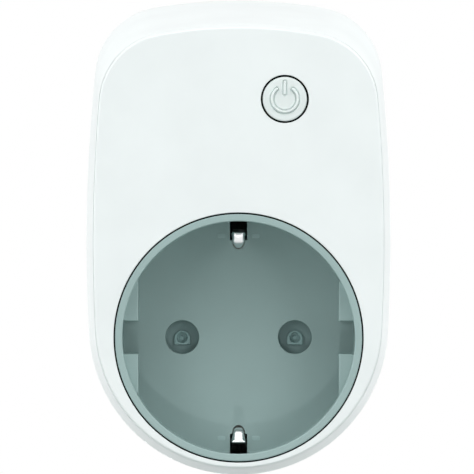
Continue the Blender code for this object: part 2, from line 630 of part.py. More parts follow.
def make_shutter_spring():
    """One unbroken coil between the slider's top edge and the stop above it."""
    per_turn = 9
    count = SPRING_TURNS * per_turn
    foot = SHUTTER_COVER + FIT + SPRING_WIRE / 2
    rise = SPRING_LENGTH - SPRING_WIRE
    middle = (SHUTTER_FRONT + SHUTTER_REAR) / 2
    radius = SPRING_MEAN_DIAMETER / 2
    points = []
    for i in range(count + 1):
        turn = 2 * math.pi * i / per_turn
        points.append((radius * math.cos(turn), middle + radius * math.sin(turn), foot + rise * i / count))
    near = min(math.dist(p, q) for i, p in enumerate(points) for q in points[i + per_turn // 2:])
    print(f"shutter_spring least gap to itself {(near - SPRING_WIRE) / MM:.2f} mm")
    curve = bpy.data.curves.new("shutter_spring", "CURVE")
    curve.dimensions = "3D"
    curve.bevel_depth = SPRING_WIRE / 2
    curve.bevel_resolution = 1
    curve.use_fill_caps = True
    spline = curve.splines.new("POLY")
    spline.points.add(count)
    for point, place in zip(spline.points, points):
        point.co = (*place, 1.0)
    spring = add("shutter_spring", evaluated("shutter_spring", bpy.data.objects.new("coil", curve)))
    finish(spring, SPRING_STEEL)


def make_contact_carrier():
    plate = rod("contact_carrier", CARRIER_RADIUS, (CARRIER_FRONT, CARRIER_REAR), sides=64)
    rail = SHUTTER_HALF_WIDTH + FIT
    rail_depth = (SHUTTER_FRONT, CARRIER_FRONT + SINK)
    top = SHUTTER_COVER + SHUTTER_TRAVEL
    spring_seat = SHUTTER_COVER + SPRING_LENGTH + 2 * FIT
    stop = (-STOP_HALF_WIDTH, STOP_HALF_WIDTH)
    upper = box("spring_stop", stop, rail_depth, (spring_seat, spring_seat + STOP_HEIGHT))
    lower_top = SHUTTER_BOTTOM - FIT
    lower = box("slider_stop", stop, rail_depth, (lower_top - STOP_HEIGHT, lower_top))
    join(plate, upper, lower)
    for side in (-1, 1):
        x = sorted((side * rail, side * (rail + SHUTTER_RAIL)))
        join(plate, box("slider_rail", x, rail_depth, (-top, top)))
        middle = side * PIN_X
        depth = (CARRIER_REAR - SINK, CONTACT_REAR)
        trough = box("trough", (middle - TROUGH_OUTER, middle + TROUGH_OUTER), depth,
                     (-CONTACT_DROP - FIT - TROUGH_WALL, CONTACT_BRIDGE))
        cut(trough, box("trough_room", (middle - TROUGH_INNER, middle + TROUGH_INNER),
                        (0.0, BODY_DEPTH), (-CONTACT_DROP - FIT, BODY_DEPTH)))
        join(plate, trough)
    half = EARTH_SLOT_WIDTH / 2
    for side in (-1, 1):
        z = sorted((side * EARTH_SLOT_INNER, side * BODY_DEPTH))
        cut(plate, box("earth_notch", (-half, half), (0.0, BODY_DEPTH), z))
        window = (CARRIER_FRONT - SINK, CARRIER_REAR + SINK)
        cut(plate, rod("pin_window", SHUTTER_WINDOW_DIAMETER / 2, window, side * PIN_X, 0.0))
    for x, z in carrier_screws():
        cut(plate, rod("carrier_bore", CARRIER_SCREW_DIAMETER / 2 + FIT, (0.0, BODY_DEPTH), x, z, 16))
    finish(plate, CREAM)


def make_contacts():
    for name, side in (("neutral_contact", -1), ("live_contact", 1)):
        middle = side * PIN_X
        low = -CONTACT_DROP
        outline = [(-CONTACT_OUTER, low), (-CONTACT_OUTER, CONTACT_TOP), (CONTACT_OUTER, CONTACT_TOP),
                   (CONTACT_OUTER, low), (CONTACT_GAP, low), (CONTACT_GAP, CONTACT_BRIDGE),
                   (-CONTACT_GAP, CONTACT_BRIDGE), (-CONTACT_GAP, low)]
        shape = [(middle + x, z) for x, z in outline]
        finish(flat(name, shape, (CONTACT_FRONT, CONTACT_REAR)), BRASS)


def make_earth_path():
    foot = (EARTH_SLOT_INNER + RECESS_RADIUS) / 2
    strap = CARRIER_REAR + FIT + SHEET / 2
    half_path = [(EARTH_TIP_DEPTH, EARTH_TIP_RADIUS), (EARTH_NOSE_DEPTH, EARTH_NOSE_RADIUS + SHEET / 2),
                 (RECESS_DEPTH, foot), (strap, foot)]
    path = half_path + [(depth, -height) for depth, height in reversed(half_path)]
    half = EARTH_STRIP_WIDTH / 2
    finish(strip("earth_bracket", path, SHEET, (-half, half)), SPRING_STEEL)
    post = (strap + SHEET / 2 + FIT, FRAME_FRONT - FIT)
    finish(rod("earth_post", EARTH_POST_RADIUS, post), NICKEL)
    leg = GROOVE_FLOOR + FIT + SHEET / 2
    end = PLUG_FACE - EARTH_STRIP_END_MARGIN
    bar = (FRAME_FRONT + FRAME_REAR) / 2
    half = EARTH_STRAP_WIDTH / 2
    path = [(end, leg), (bar, leg), (bar, -leg), (end, -leg)]
    finish(strip("plug_earth_frame", path, SHEET, (-half, half)), NICKEL)
    bore = EARTH_PIN_BORE / 2
    outer = bore + SLEEVE_WALL
    sleeve = rod("earth_sleeve", outer, (REAR_INNER, BOSS_END_INNER - FIT), 0.0, EARTH_PIN_OFFSET)
    finish(cut(sleeve, rod("sleeve_bore", bore, (0.0, PLUG_FACE), 0.0, EARTH_PIN_OFFSET)), NICKEL)


def make_plug_pins():
    radius = PIN_DIAMETER / 2
    tip = PLUG_FACE + PIN_LENGTH
    dome = [(radius * math.cos(a), tip - radius + radius * math.sin(a)) for a in (0.0, 0.4, 0.8, 1.15)]
    profile = [(0.0, tip)] + dome[::-1] + [
        (radius, PIN_FLANGE_REAR), (PIN_FLANGE_RADIUS, PIN_FLANGE_REAR),
        (PIN_FLANGE_RADIUS, PIN_FLANGE_FRONT), (PIN_TAIL_RADIUS, PIN_FLANGE_FRONT),
        (PIN_TAIL_RADIUS, PIN_TAIL_FRONT), (0.0, PIN_TAIL_FRONT)]
    for name, side in (("neutral_pin", -1), ("live_pin", 1)):
        finish(turned(name, profile, side * PIN_X, 0.0, 32), NICKEL)
    rear = PIN_FLANGE_FRONT - FIT
    plate = rod("pin_carrier", BOSS_INNER_RADIUS - FIT, (rear - PIN_CARRIER_THICKNESS, rear), sides=64)
    for side in (-1, 1):
        cut(plate, rod("tail_hole", PIN_TAIL_RADIUS + FIT, (0.0, PLUG_FACE), side * PIN_X, 0.0, 24))
    sleeve = EARTH_PIN_BORE / 2 + SLEEVE_WALL + FIT
    finish(cut(plate, rod("sleeve_hole", sleeve, (0.0, PLUG_FACE), 0.0, EARTH_PIN_OFFSET)), CREAM)


def make_links():
    """Live goes pin, board and relay, then back to the contact; neutral joins all three."""
    end = PIN_TAIL_FRONT - FIT - SHEET / 2
    foot = CONTACT_TOP + FIT + SHEET / 2
    board = PARTS_FRONT
    rise = CONTACT_FRONT + CONTACT_SHEET * 4
    half = BUS_WIDTH / 2
    x = (PIN_X - half, PIN_X + half)
    out_path = [(CONTACT_REAR, foot), (rise, foot), (rise, BUS_LANDING), (board, BUS_LANDING)]
    finish(strip("live_out_bus", out_path, SHEET, x), BRASS)
    x = (-PIN_X - half, -PIN_X + half)
    main = strip("neutral_bus", [(end, -half), (end, NEUTRAL_Z), (rise, NEUTRAL_Z),
                                 (rise, BUS_LANDING), (board, BUS_LANDING)], SHEET, x)
    inner = (x[0] + SINK, x[1] - SINK)
    branch = strip("neutral_branch", [(CONTACT_REAR, foot), (rise, foot), (rise, NEUTRAL_Z)], SHEET, inner)
    finish(join(main, branch), BRASS)
    near = LIVE_IN_WIDTH / 2
    rise = (CONTACT_REAR + rise) / 2
    high = BUS_LANDING + SHEET + FIT * 2
    live = strip("live_in_bus", [(end, LIVE_IN_Z), (rise, LIVE_IN_Z), (rise, high), (board, high)],
                 SHEET, (LIVE_IN_X - near, LIVE_IN_X + near))
    top = LIVE_IN_Z + SHEET / 2 + SINK
    bend = LIVE_IN_Z / 2
    left = LIVE_IN_X - near - SINK
    right = LIVE_IN_X + near + SINK
    plate = [(PIN_X - near, -near), (PIN_X + near, -near), (PIN_X + near, near), (right, bend + near),
             (right, top), (left, top), (left, bend), (PIN_X - near, near)]
    finish(join(live, flat("live_in_plate", plate, (end - SHEET / 2, end + SHEET / 2))), BRASS)


def make_screw(name, x, z, diameter, head_diameter, head_front, tip):
    head_rear = head_front + SCREW_HEAD_HEIGHT
    chamfer = SCREW_HEAD_HEIGHT / 4
    screw = turned(name, [
        (0.0, head_rear), (head_diameter / 2 - chamfer, head_rear), (head_diameter / 2, head_rear - chamfer),
        (head_diameter / 2, head_front), (diameter / 2, head_front), (diameter / 2, tip), (0.0, tip),
    ], x, z, 24)
    span = min(DRIVE_SPAN, head_diameter - 2 * chamfer) / 2
    slot = DRIVE_WIDTH / 2
    depth = (head_rear - DRIVE_DEPTH, head_rear + SINK)
    cut(screw, box("drive", (x - span, x + span), depth, (z - slot, z + slot)))
    cut(screw, box("drive", (x - slot, x + slot), depth, (z - span, z + span)))
    finish(screw, ZINC)


def make_screws():
    for number, (x, z) in enumerate(SCREWS, 1):
        tip = COVER + BOARD_STANDOFF - SCREW_GRIP
        make_screw(f"housing_screw_{number}", x, z, SCREW_DIAMETER, SCREW_HEAD_DIAMETER, HEAD_FRONT, tip)
    head = CARRIER_POST_RADIUS * 2
    for name, (x, z) in zip(("carrier_screw_left", "carrier_screw_right"), carrier_screws()):
        make_screw(name, x, z, CARRIER_SCREW_DIAMETER, head, CARRIER_REAR + FIT, FLOOR_REAR + FIT)


make_front_cover()
make_rear_housing()
make_socket_insert()
make_button()
make_board()
make_board_parts()
make_shutter()
make_shutter_spring()
make_contact_carrier()
make_contacts()
make_earth_path()
make_plug_pins()
make_links()
make_screws()
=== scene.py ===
"""Dresses the packed smart plug: its white body, grey socket, button, plug end and finishes.

Metres, +Z up. A depth is measured behind the face, along +Y, as in the part's source.
Flat loops are arrays of (x, z) rows, and a grid is an array of rows, columns and (x, y, z).
"""
import json
import math

import bmesh
import bpy
import numpy as np
from bpy.props import FloatProperty, FloatVectorProperty, PointerProperty
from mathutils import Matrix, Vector
from mathutils.geometry import delaunay_2d_cdt


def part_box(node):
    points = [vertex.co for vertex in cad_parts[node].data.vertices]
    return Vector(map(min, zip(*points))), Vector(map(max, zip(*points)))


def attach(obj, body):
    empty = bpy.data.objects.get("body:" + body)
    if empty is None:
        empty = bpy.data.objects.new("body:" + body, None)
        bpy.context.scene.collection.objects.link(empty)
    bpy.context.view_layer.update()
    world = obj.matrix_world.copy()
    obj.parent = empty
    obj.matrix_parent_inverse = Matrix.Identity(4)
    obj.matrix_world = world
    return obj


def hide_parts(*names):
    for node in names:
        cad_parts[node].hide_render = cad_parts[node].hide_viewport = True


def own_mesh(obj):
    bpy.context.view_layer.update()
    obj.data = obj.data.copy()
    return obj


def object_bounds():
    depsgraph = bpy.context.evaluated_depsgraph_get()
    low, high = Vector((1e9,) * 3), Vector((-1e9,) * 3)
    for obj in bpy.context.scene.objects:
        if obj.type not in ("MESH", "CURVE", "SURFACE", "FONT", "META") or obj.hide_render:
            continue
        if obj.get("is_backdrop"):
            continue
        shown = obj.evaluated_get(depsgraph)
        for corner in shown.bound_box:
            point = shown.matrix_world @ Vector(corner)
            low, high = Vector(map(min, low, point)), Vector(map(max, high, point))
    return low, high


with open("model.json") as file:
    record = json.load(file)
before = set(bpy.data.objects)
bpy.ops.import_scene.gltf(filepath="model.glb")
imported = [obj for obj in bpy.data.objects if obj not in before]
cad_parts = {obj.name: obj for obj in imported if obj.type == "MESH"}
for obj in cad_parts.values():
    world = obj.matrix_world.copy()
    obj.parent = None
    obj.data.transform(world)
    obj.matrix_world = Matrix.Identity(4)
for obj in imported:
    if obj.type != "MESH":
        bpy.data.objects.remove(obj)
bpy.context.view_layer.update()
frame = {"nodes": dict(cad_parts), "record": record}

bl_info = {
    "name": "Smart plug dressing",
    "version": (1, 0, 0),
    "blender": (4, 2, 0),
    "location": "View3D > Sidebar > Smart plug",
    "description": "Builds the visible surfaces and finishes of a through-type smart plug",
    "category": "Object",
}

MM = 0.001
FACE_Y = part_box("front_cover")[0].y
# Width of the strip that keeps a flat face's shading flat beside a rounding
SUPPORT = 0.04 * MM
# Points closer than this are one point
MERGE = 0.002 * MM
SHARP_ANGLE = math.radians(38)
QUARTER = math.pi / 2
TURN = 2 * math.pi
RIM_SIDES = 256
BUTTON_SIDES = 112
WHITE = (1.0, 1.0, 1.0, 1.0)


def length(name, description, millimetres):
    """A length that a user may change, given in millimetres and kept in metres."""
    return FloatProperty(name=name, description=description, default=millimetres * MM, precision=5,
                         unit="LENGTH", subtype="DISTANCE")


def colour(name, description, red, green, blue):
    """A linear colour that a user may change."""
    return FloatVectorProperty(name=name, description=description, default=(red, green, blue), size=3,
                               min=0.0, max=1.0, subtype="COLOR")


def power(name, description, watts):
    """A lamp's power that a user may change, in watts."""
    return FloatProperty(name=name, description=description, default=watts, min=0.0, unit="POWER")


class PlugBody(bpy.types.PropertyGroup):
    """Sizes of the white two-part body."""
    half_width: length("Half width", "Half of the face's greatest width", 24.35)
    top: length("Top", "Face's upper edge above the socket axis", 52.0)
    bottom: length("Bottom", "Face's lower edge below the socket axis", 21.77)
    depth: length("Depth", "From the face to the rear wall's outside", 40.0)
    top_radius: length("Top radius", "Radius of the face's upper edge", 72.0)
    side_radius: length("Side radius", "Radius of the body's sides", 280.0)
    corner_radius: length("Corner radius", "Radius of the two upper corners", 12.0)
    widest: length("Widest height", "Height of the widest place", 16.0)
    flare_side: length("Side flare", "Each side's way out from face to rear", 1.47)
    flare_top: length("Top flare", "The top's way up from face to rear", 5.15)
    flare_bottom: length("Bottom flare", "The bottom's way down from face to rear", 1.75)
    flare_top_radius: length("Top radius flare", "Its growth from face to rear", 13.0)
    cover: length("Cover", "Thickness of the front cover", 2.0)
    seam: length("Seam", "Gap between cover and housing", 0.03)
    ledge: length("Seam ledge", "How far the housing stands out at the seam", 0.03)
    tuck: length("Cover tuck", "How far the cover's sides are tucked in", 0.035)
    edge_radius: length("Front edge", "Rounding of the cover's edge", 0.28)
    rear_radius: length("Rear edge", "Rounding of the housing's rear edge", 1.6)
    wall: length("Wall", "Wall of the rear housing", 1.3)


class PlugSocket(bpy.types.PropertyGroup):
    """Sizes of the grey socket recess and what lies in it."""
    recess_radius: length("Recess radius", "Radius of the round recess", 19.5)
    recess_depth: length("Recess depth", "From the face to the recess floor", 17.5)
    floor: length("Floor", "Thickness of the recess floor", 2.0)
    rim_radius: length("Rim radius", "Outer radius of the rim in the face", 20.7)
    hole_radius: length("Cover hole radius", "Radius of the cover's hole round the rim", 20.96)
    ledge: length("Ledge", "Half of the distance between the side ledges", 16.85)
    ledge_setback: length("Ledge setback", "From the face to the ledges", 4.0)
    notch: length("Guide notch", "Half of the guide notch's width", 2.775)
    pin_spacing: length("Pin spacing", "Between the two pin holes", 19.0)
    pin_hole: length("Pin hole radius", "Radius of a pin hole", 2.825)
    slot_half: length("Earth slot half width", "Half of an earth slot's width", 1.45)
    slot_inner: length("Earth slot start", "Its start, from the axis", 16.3)
    slot_outer: length("Earth slot end", "Its end under the wall, from the axis", 20.0)
    shutter_travel: length("Shutter travel", "How far the shutter slides", 6.2)
    arch_half: length("Slot arch half width", "Half of an arch's width", 1.1)
    arch_reach: length("Slot arch reach", "Its reach towards the axis", 1.5)
    slot_rise: length("Earth slot rise", "Earth slot's height in the wall", 13.3)


class PlugButton(bpy.types.PropertyGroup):
    """Sizes of the button and its raised mark."""
    x: length("Across", "Its middle, right of the socket axis", 7.75)
    z: length("Height", "Its middle, above the socket axis", 39.98)
    radius: length("Radius", "Radius of the button", 3.71)
    gap: length("Gap", "Gap round the button", 0.33)
    mark_radius: length("Mark radius", "Radius of the raised ring", 2.14)
    mark_line: length("Mark line", "Width of the raised line", 0.58)
    mark_height: length("Mark height", "How far the mark stands out", 0.48)


class PlugEnd(bpy.types.PropertyGroup):
    """Sizes of the plug boss and its pins."""
    length: length("Boss length", "From the rear wall to the plug's end face", 17.0)
    radius: length("Boss radius", "Radius of the boss", 18.4)
    flat: length("Boss flat", "Half of the distance between the flats", 16.6)
    rib: length("Rib", "Half of a side rib's width", 2.5)
    groove_half: length("Groove half width", "Half of an earth groove's width", 2.3)
    groove_floor: length("Groove floor", "From the axis to a groove's floor", 17.2)
    groove_end: length("Groove end", "From the face to the grooves' end", 54.8)
    pin_radius: length("Pin radius", "Radius of a pin", 2.4)
    pin_length: length("Pin length", "From the end face to a pin's tip", 19.0)
    earth_height: length("Earth hole height", "Middle of the earth hole above the axis", 10.0)
    earth_radius: length("Earth hole radius", "Radius of the earth hole", 2.5)


class PlugFinish(bpy.types.PropertyGroup):
    """Colours of the finishes that show."""
    white: colour("White", "Moulded white of the body", 0.86, 0.905, 0.905)
    grey: colour("Grey", "Moulded grey of the socket", 0.328, 0.447, 0.438)
    button: colour("Button", "Moulded white of the button", 0.79, 0.85, 0.84)
    shutter: colour("Shutter", "Moulded grey of the shutter", 0.226, 0.352, 0.348)
    steel: colour("Steel", "Spring steel of the earth clips", 0.84, 0.85, 0.85)
    nickel: colour("Nickel", "Nickel plate of the pins and earth strips", 0.74, 0.72, 0.68)


class PlugStage(bpy.types.PropertyGroup):
    """Camera and light."""
    distance: length("Camera distance", "From the camera to the face", 3000.0)
    frame_width: length("Frame width", "Width of the picture at the face", 79.4)
    aim_x: length("Aim across", "Middle of the picture, across", -0.26)
    aim_z: length("Aim height", "Middle of the picture, in height", 16.86)
    floor_gap: length("Floor gap", "From the floor up to the hanging plug", 250.0)
    floor: colour("Floor", "Floor, which tints the light from below", 0.335, 0.38, 0.37)
    ambient: FloatProperty(name="Ambient", description="Strength of the light from all round", default=0.33)
    key: power("Key", "Lamp high above the camera", 1.9)
    low: power("Low", "Small lamp below the camera", 0.56)
    back: power("Back", "Lamp behind the plug, for its rear side", 1.5)
    front: power("Front", "Each lamp beside the camera", 0.67)
    raised: power("Raised", "Each lamp beside and above the camera", 0.65)
    side: power("Side", "Each lamp at a side", 2.06)
    edge: power("Edge", "Each lamp on a side of the body", 0.75)
    upper: power("Upper", "Each lamp on the body's top", 1.62)


def arc(centre, radius, start, end, count):
    """Points from one angle to another on a circle, without the last one."""
    angle = np.linspace(start, end, count, endpoint=False)
    return np.column_stack([centre[0] + radius * np.cos(angle), centre[1] + radius * np.sin(angle)])


def circle(centre, radius, count):
    """A closed loop of evenly spaced points on a circle."""
    return arc(centre, radius, 0.0, TURN, count)


def line(start, end, count):
    """Evenly spaced points along a straight line, without the last one."""
    share = np.linspace(0.0, 1.0, count, endpoint=False)[:, None]
    return np.asarray(start) * (1 - share) + np.asarray(end) * share


def mirrored(quarter):
    """A closed loop from its part in the first quadrant, whose ends lie on the two axes."""
    upper = np.concatenate([quarter, quarter[-2::-1] * (-1, 1)])
    return np.concatenate([upper, upper[-2:0:-1] * (1, -1)])


def rounded(base, depth, radius, count, out=1, down=1):
    """(base, depth) pairs of a quarter round, from its flat to its side: the base moves out by
    r(1 - sin t) and the depth down by r(1 - cos t), with t from 0 to a quarter turn."""
    turn = np.linspace(0.0, QUARTER, count)
    return list(zip(base + out * radius * (1 - np.sin(turn)), depth + down * radius * (1 - np.cos(turn))))


def at_depth(loop, depth):
    """A flat loop laid at a depth behind the face."""
    return np.column_stack([loop[:, 0], np.full(len(loop), FACE_Y + depth), loop[:, 1]])


def layers(rows):
    """A grid from pairs of a flat loop and its depth."""
    return np.stack([at_depth(loop, depth) for loop, depth in rows])


def lathe(profile, centre, count):
    """A grid whose rows are circles: each (radius, depth) of the profile, turned about the depth axis."""
    return layers((circle(centre, radius, count), depth) for radius, depth in profile)


def superellipse(power, count):
    """A closed loop of points with |x|^p + |z|^p = 1."""
    angle = np.linspace(0.0, TURN, count, endpoint=False)
    around = np.column_stack([np.cos(angle), np.sin(angle)])
    return np.sign(around) * np.abs(around) ** (2 / power)


def smoothed(path, rounds=4):
    """A path with its corners cut: each round keeps the points at 1/4 and 3/4 of every span."""
    for _ in range(rounds):
        near = path[:-1] * 0.75 + path[1:] * 0.25
        far = path[:-1] * 0.25 + path[1:] * 0.75
        inner = np.stack([near, far], axis=1).reshape(-1, path.shape[1])
        path = np.concatenate([path[:1], inner[1:-1], path[-1:]])
    return path


def inside(loop, points):
    """Which points lie in a closed loop: an odd number of its edges cross the line to their right."""
    x, z = points[:, 0, None], points[:, 1, None]
    ax, az = loop[:, 0], loop[:, 1]
    bx, bz = np.roll(ax, -1), np.roll(az, -1)
    level = (az > z) != (bz > z)
    rise = np.where(bz == az, 1.0, bz - az)
    cross = ax + (z - az) * (bx - ax) / rise
    return (level & (x < cross)).sum(axis=1) % 2 == 1


def body_outline(size, depth, inset=0.0):
    """The body's outline at a depth, drawn in by an inset: on each side four tangent arcs, for
    bottom, side, upper corner and top, whose sizes grow in proportion to the depth."""
    share = depth / size.depth
    half = size.half_width + size.flare_side * share - inset
    top = size.top + size.flare_top * share - inset
    bottom = -size.bottom - size.flare_bottom * share + inset
    top_radius = size.top_radius + size.flare_top_radius * share - inset
    side_radius = size.side_radius - inset
    corner = size.corner_radius - inset
    side = np.array([half - side_radius, size.widest])
    upper = np.array([0.0, top - top_radius])
    rise = size.widest - bottom
    low_radius = (side_radius ** 2 - side[0] ** 2 - rise ** 2) / (2 * (side_radius - rise))
    low = np.array([0.0, bottom + low_radius])
    apart = np.hypot(*(upper - side))
    along = ((side_radius - corner) ** 2 - (top_radius - corner) ** 2 + apart ** 2) / (2 * apart)
    off = math.sqrt((side_radius - corner) ** 2 - along ** 2)
    way = (upper - side) / apart
    middle = side + way * along + np.array([-way[1], way[0]]) * off

    def angle(start, end):
        """The direction from one point to another."""
        return math.atan2(end[1] - start[1], end[0] - start[0])
    right = np.concatenate([
        arc(low, low_radius, -QUARTER, angle(side, low), 72),
        arc(side, side_radius, angle(side, low), angle(side, middle), 40),
        arc(middle, corner, angle(side, middle), angle(upper, middle), 44),
        arc(upper, top_radius, angle(upper, middle), QUARTER, 40)])
    return np.concatenate([right, [(0.0, top)], right[:0:-1] * (-1, 1)])


def cover_outline(size, depth, inset):
    """The cover's outline at a depth: the body's, with straight sides that are tucked in at the seam."""
    wide = size.half_width + size.flare_side * depth / size.depth
    return body_outline(size, depth, inset) * ((size.half_width - size.tuck) / wide, 1.0)


def recess_quarter(size, radius, ledge, notch):
    """A quarter of the recess below its ledges, from its side to the earth slot: an arc across the guide
    notch, the notch's wall, the flat, and the arc up to the slot's edge."""
    low = (math.sqrt(radius ** 2 - notch ** 2), notch)
    high = (ledge, math.sqrt(radius ** 2 - ledge ** 2))
    slot = math.acos(size.slot_half / radius)
    return np.concatenate([
        arc((0, 0), radius, 0.0, math.asin(notch / radius), 10), line(low, (ledge, notch), 6),
        line((ledge, notch), high, 12), arc((0, 0), radius, math.atan2(high[1], high[0]), slot, 56),
        [(size.slot_half, radius * math.sin(slot))]])


def rim_quarter(size, radius):
    """A quarter circle with as many points as recess_quarter in each of its stretches."""
    slot = math.acos(size.slot_half / radius)
    notch, ledge = math.asin(size.notch / size.recess_radius), math.acos(size.ledge / size.recess_radius)
    stops = (0.0, notch, ledge, slot)
    arcs = [arc((0, 0), radius, *ends, count) for *ends, count in zip(stops, stops[1:], (10, 18, 56))]
    return np.concatenate([*arcs, [(size.slot_half, radius * math.sin(slot))]])


def slot_arc(size, radius):
    """The arc of a circle across the upper earth slot, from its right edge to its left."""
    right = arc((0, 0), radius, math.acos(size.slot_half / radius), QUARTER, 8)
    return np.concatenate([right, [(0.0, radius)], right[::-1] * (-1, 1)])


def whole(size, quarter):
    """A closed loop from a quarter that ends at the earth slot, with the arc across the slot."""
    across = slot_arc(size, math.hypot(*quarter[-1]))
    return mirrored(np.concatenate([quarter[:-1], across[:len(across) // 2 + 1]]))


def right_side(quarter):
    """The open path of a quarter and its mirror image, from the lower earth slot to the upper."""
    return np.concatenate([quarter[:0:-1] * (1, -1), quarter])


def slot_path(size, start, end):
    """Three sides of the upper earth slot, from its right edge at one height round another height."""
    half = size.slot_half
    return np.concatenate([line((half, start), (half, end), 6), line((half, end), (-half, end), 6),
                           line((-half, end), (-half, start), 6), [(-half, start)]])


def slot_mouth(size, start):
    """The upper earth slot in the floor, from its right edge to its left: on each side a straight edge and a
    shoulder, and between them half an ellipse that reaches towards the axis round the clip's nose."""
    half, inner = size.slot_half, size.slot_inner
    arch = arc((0, 0), 1.0, 0.0, -QUARTER, 14) * (size.arch_half, size.arch_reach) + (0.0, inner)
    right = np.concatenate([line((half, start), (half, inner), 6), line((half, inner), arch[0], 3), arch])
    return np.concatenate([right, [(0.0, inner - size.arch_reach)], right[::-1] * (-1, 1)])


def boss_outline(size, grooved, inset=0.0):
    """The plug boss: a circle cut by two flats with a rib in each, and with earth grooves on request."""
    radius = size.radius - inset
    flat = size.flat - inset
    rib = size.rib - inset * 0.6
    side = math.sqrt(radius ** 2 - rib ** 2)
    top = math.sqrt(radius ** 2 - flat ** 2)
    groove = size.groove_half
    edge = math.acos(groove / radius)
    parts = [arc((0, 0), radius, 0.0, math.asin(rib / radius), 8), line((side, rib), (flat, rib), 4),
             line((flat, rib), (flat, top), 10), arc((0, 0), radius, math.atan2(top, flat), edge, 40)]
    if grooved:
        rim = radius * math.sin(edge)
        parts += [line((groove, rim), (groove, size.groove_floor), 4),
                  line((groove, size.groove_floor), (0.0, size.groove_floor), 6), [(0.0, size.groove_floor)]]
    else:
        parts += [arc((0, 0), radius, edge, QUARTER, 10), [(0.0, radius)]]
    return mirrored(np.concatenate(parts))


class Skin:
    """The patches of one piece, gathered as arrays and merged into one mesh."""

    def __init__(self):
        self.points = []
        self.faces = []
        self.count = 0

    def take(self, points, faces):
        """Add points, and faces that count from the first of them."""
        self.faces += (np.asarray(faces) + self.count).tolist()
        self.points.append(points)
        self.count += len(points)

    def grid(self, points, closed=True):
        """Quads between neighbours of a grid; closed joins its last column to its first."""
        rows, columns = points.shape[:2]
        index = np.arange(rows * columns).reshape(rows, columns)
        if closed:
            index = np.concatenate([index, index[:, :1]], axis=1)
        quads = np.stack([index[:-1, :-1], index[1:, :-1], index[1:, 1:], index[:-1, 1:]], axis=-1)
        self.take(points.reshape(-1, 3), quads.reshape(-1, 4))
        return self

    def hole(self, profile, centre, count):
        """A turned hole, given as lathe is. Returns the loops where it starts and ends."""
        self.grid(lathe(profile, centre, count))
        return circle(centre, profile[0][0], count), circle(centre, profile[-1][0], count)

    def flat(self, outer, holes, depth):
        """A flat face inside one loop and outside the others, cut into Delaunay triangles."""
        loops = [outer, *holes]
        points = np.concatenate(loops)
        starts = np.cumsum([0] + [len(loop) for loop in loops])
        edges = np.concatenate([
            np.column_stack([np.arange(len(loop)), np.roll(np.arange(len(loop)), -1)]) + start
            for loop, start in zip(loops, starts)])
        scaled = [Vector(point) for point in points / MM]
        found, _, triangles, _, _, _ = delaunay_2d_cdt(scaled, edges.tolist(), [], 1, 1e-5)
        found = np.array(found) * MM
        triangles = np.array(triangles)
        middle = found[triangles].mean(axis=1)
        keep = inside(outer, middle)
        for hole in holes:
            keep &= ~inside(hole, middle)
        self.take(at_depth(found, depth), triangles[keep])
        return self

    def piece(self, name, finish, nodes=(), wall=0.0, facing=None, tone=None, body="housing"):
        """Merge the patches into one object that rides on a body and stands for CAD nodes.
        facing is a point and the way the surface looks there, for a skin that gets a wall."""
        mesh = bpy.data.meshes.new(name)
        mesh.from_pydata(np.concatenate(self.points), [], self.faces)
        work = bmesh.new()
        work.from_mesh(mesh)
        bmesh.ops.remove_doubles(work, verts=work.verts, dist=MERGE)
        bmesh.ops.dissolve_degenerate(work, edges=work.edges, dist=MERGE / 10)
        bmesh.ops.recalc_face_normals(work, faces=work.faces)
        if facing is not None:
            place, way = Vector(facing[0]), Vector(facing[1])
            near = min(work.faces, key=lambda face: (face.calc_center_median() - place).length)
            if near.normal.dot(way) < 0:
                bmesh.ops.reverse_faces(work, faces=work.faces)
        work.to_mesh(mesh)
        work.free()
        mesh.shade_smooth()
        mesh.set_sharp_from_angle(angle=SHARP_ANGLE)
        made = bpy.data.objects.new(name, mesh)
        bpy.context.scene.collection.objects.link(made)
        mesh.materials.append(finished(tone or finish))
        if wall:
            solid = made.modifiers.new("wall", "SOLIDIFY")
            solid.thickness = wall
            solid.offset = -1.0
        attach(made, body)
        if nodes:
            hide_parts(*nodes)
        return made


class Value:
    """A shader value: arithmetic on it adds the Math nodes that work it out."""

    def __init__(self, tree, socket):
        self.tree = tree
        self.socket = socket

    def math(self, operation, first, second):
        """The output of a Math node."""
        return self.tree.node("ShaderNodeMath", {"operation": operation}, {0: first, 1: second})

    def __add__(self, other):
        return self.math("ADD", self, other)

    def __radd__(self, other):
        return self.math("ADD", other, self)

    def __mul__(self, other):
        return self.math("MULTIPLY", self, other)

    def __rmul__(self, other):
        return self.math("MULTIPLY", other, self)

    def __or__(self, other):
        return self.math("MAXIMUM", self, other)

    def __ror__(self, other):
        return self.math("MAXIMUM", other, self)


class Tree:
    """A node tree, with one way to add a node to it."""

    def __init__(self, tree):
        self.tree = tree

    def node(self, kind, settings, inputs, out=0):
        """Add a node: its settings first, then the values or links of its sockets."""
        made = self.tree.nodes.new(kind)
        for key, value in settings.items():
            setattr(made, key, value)
        self.feed(made, inputs)
        return Value(self, made.outputs[out])

    def feed(self, node, inputs):
        """Set or link a node's sockets."""
        for key, value in inputs.items():
            if isinstance(value, Value):
                self.tree.links.new(value.socket, node.inputs[key])
            else:
                node.inputs[key].default_value = value

    def seen(self):
        """1 for camera, glossy and transmission rays, which see the plain white surround."""
        camera, glossy, through = (self.node("ShaderNodeLightPath", {}, {}, f"Is {ray} Ray")
                                   for ray in ("Camera", "Glossy", "Transmission"))
        return camera | glossy | through


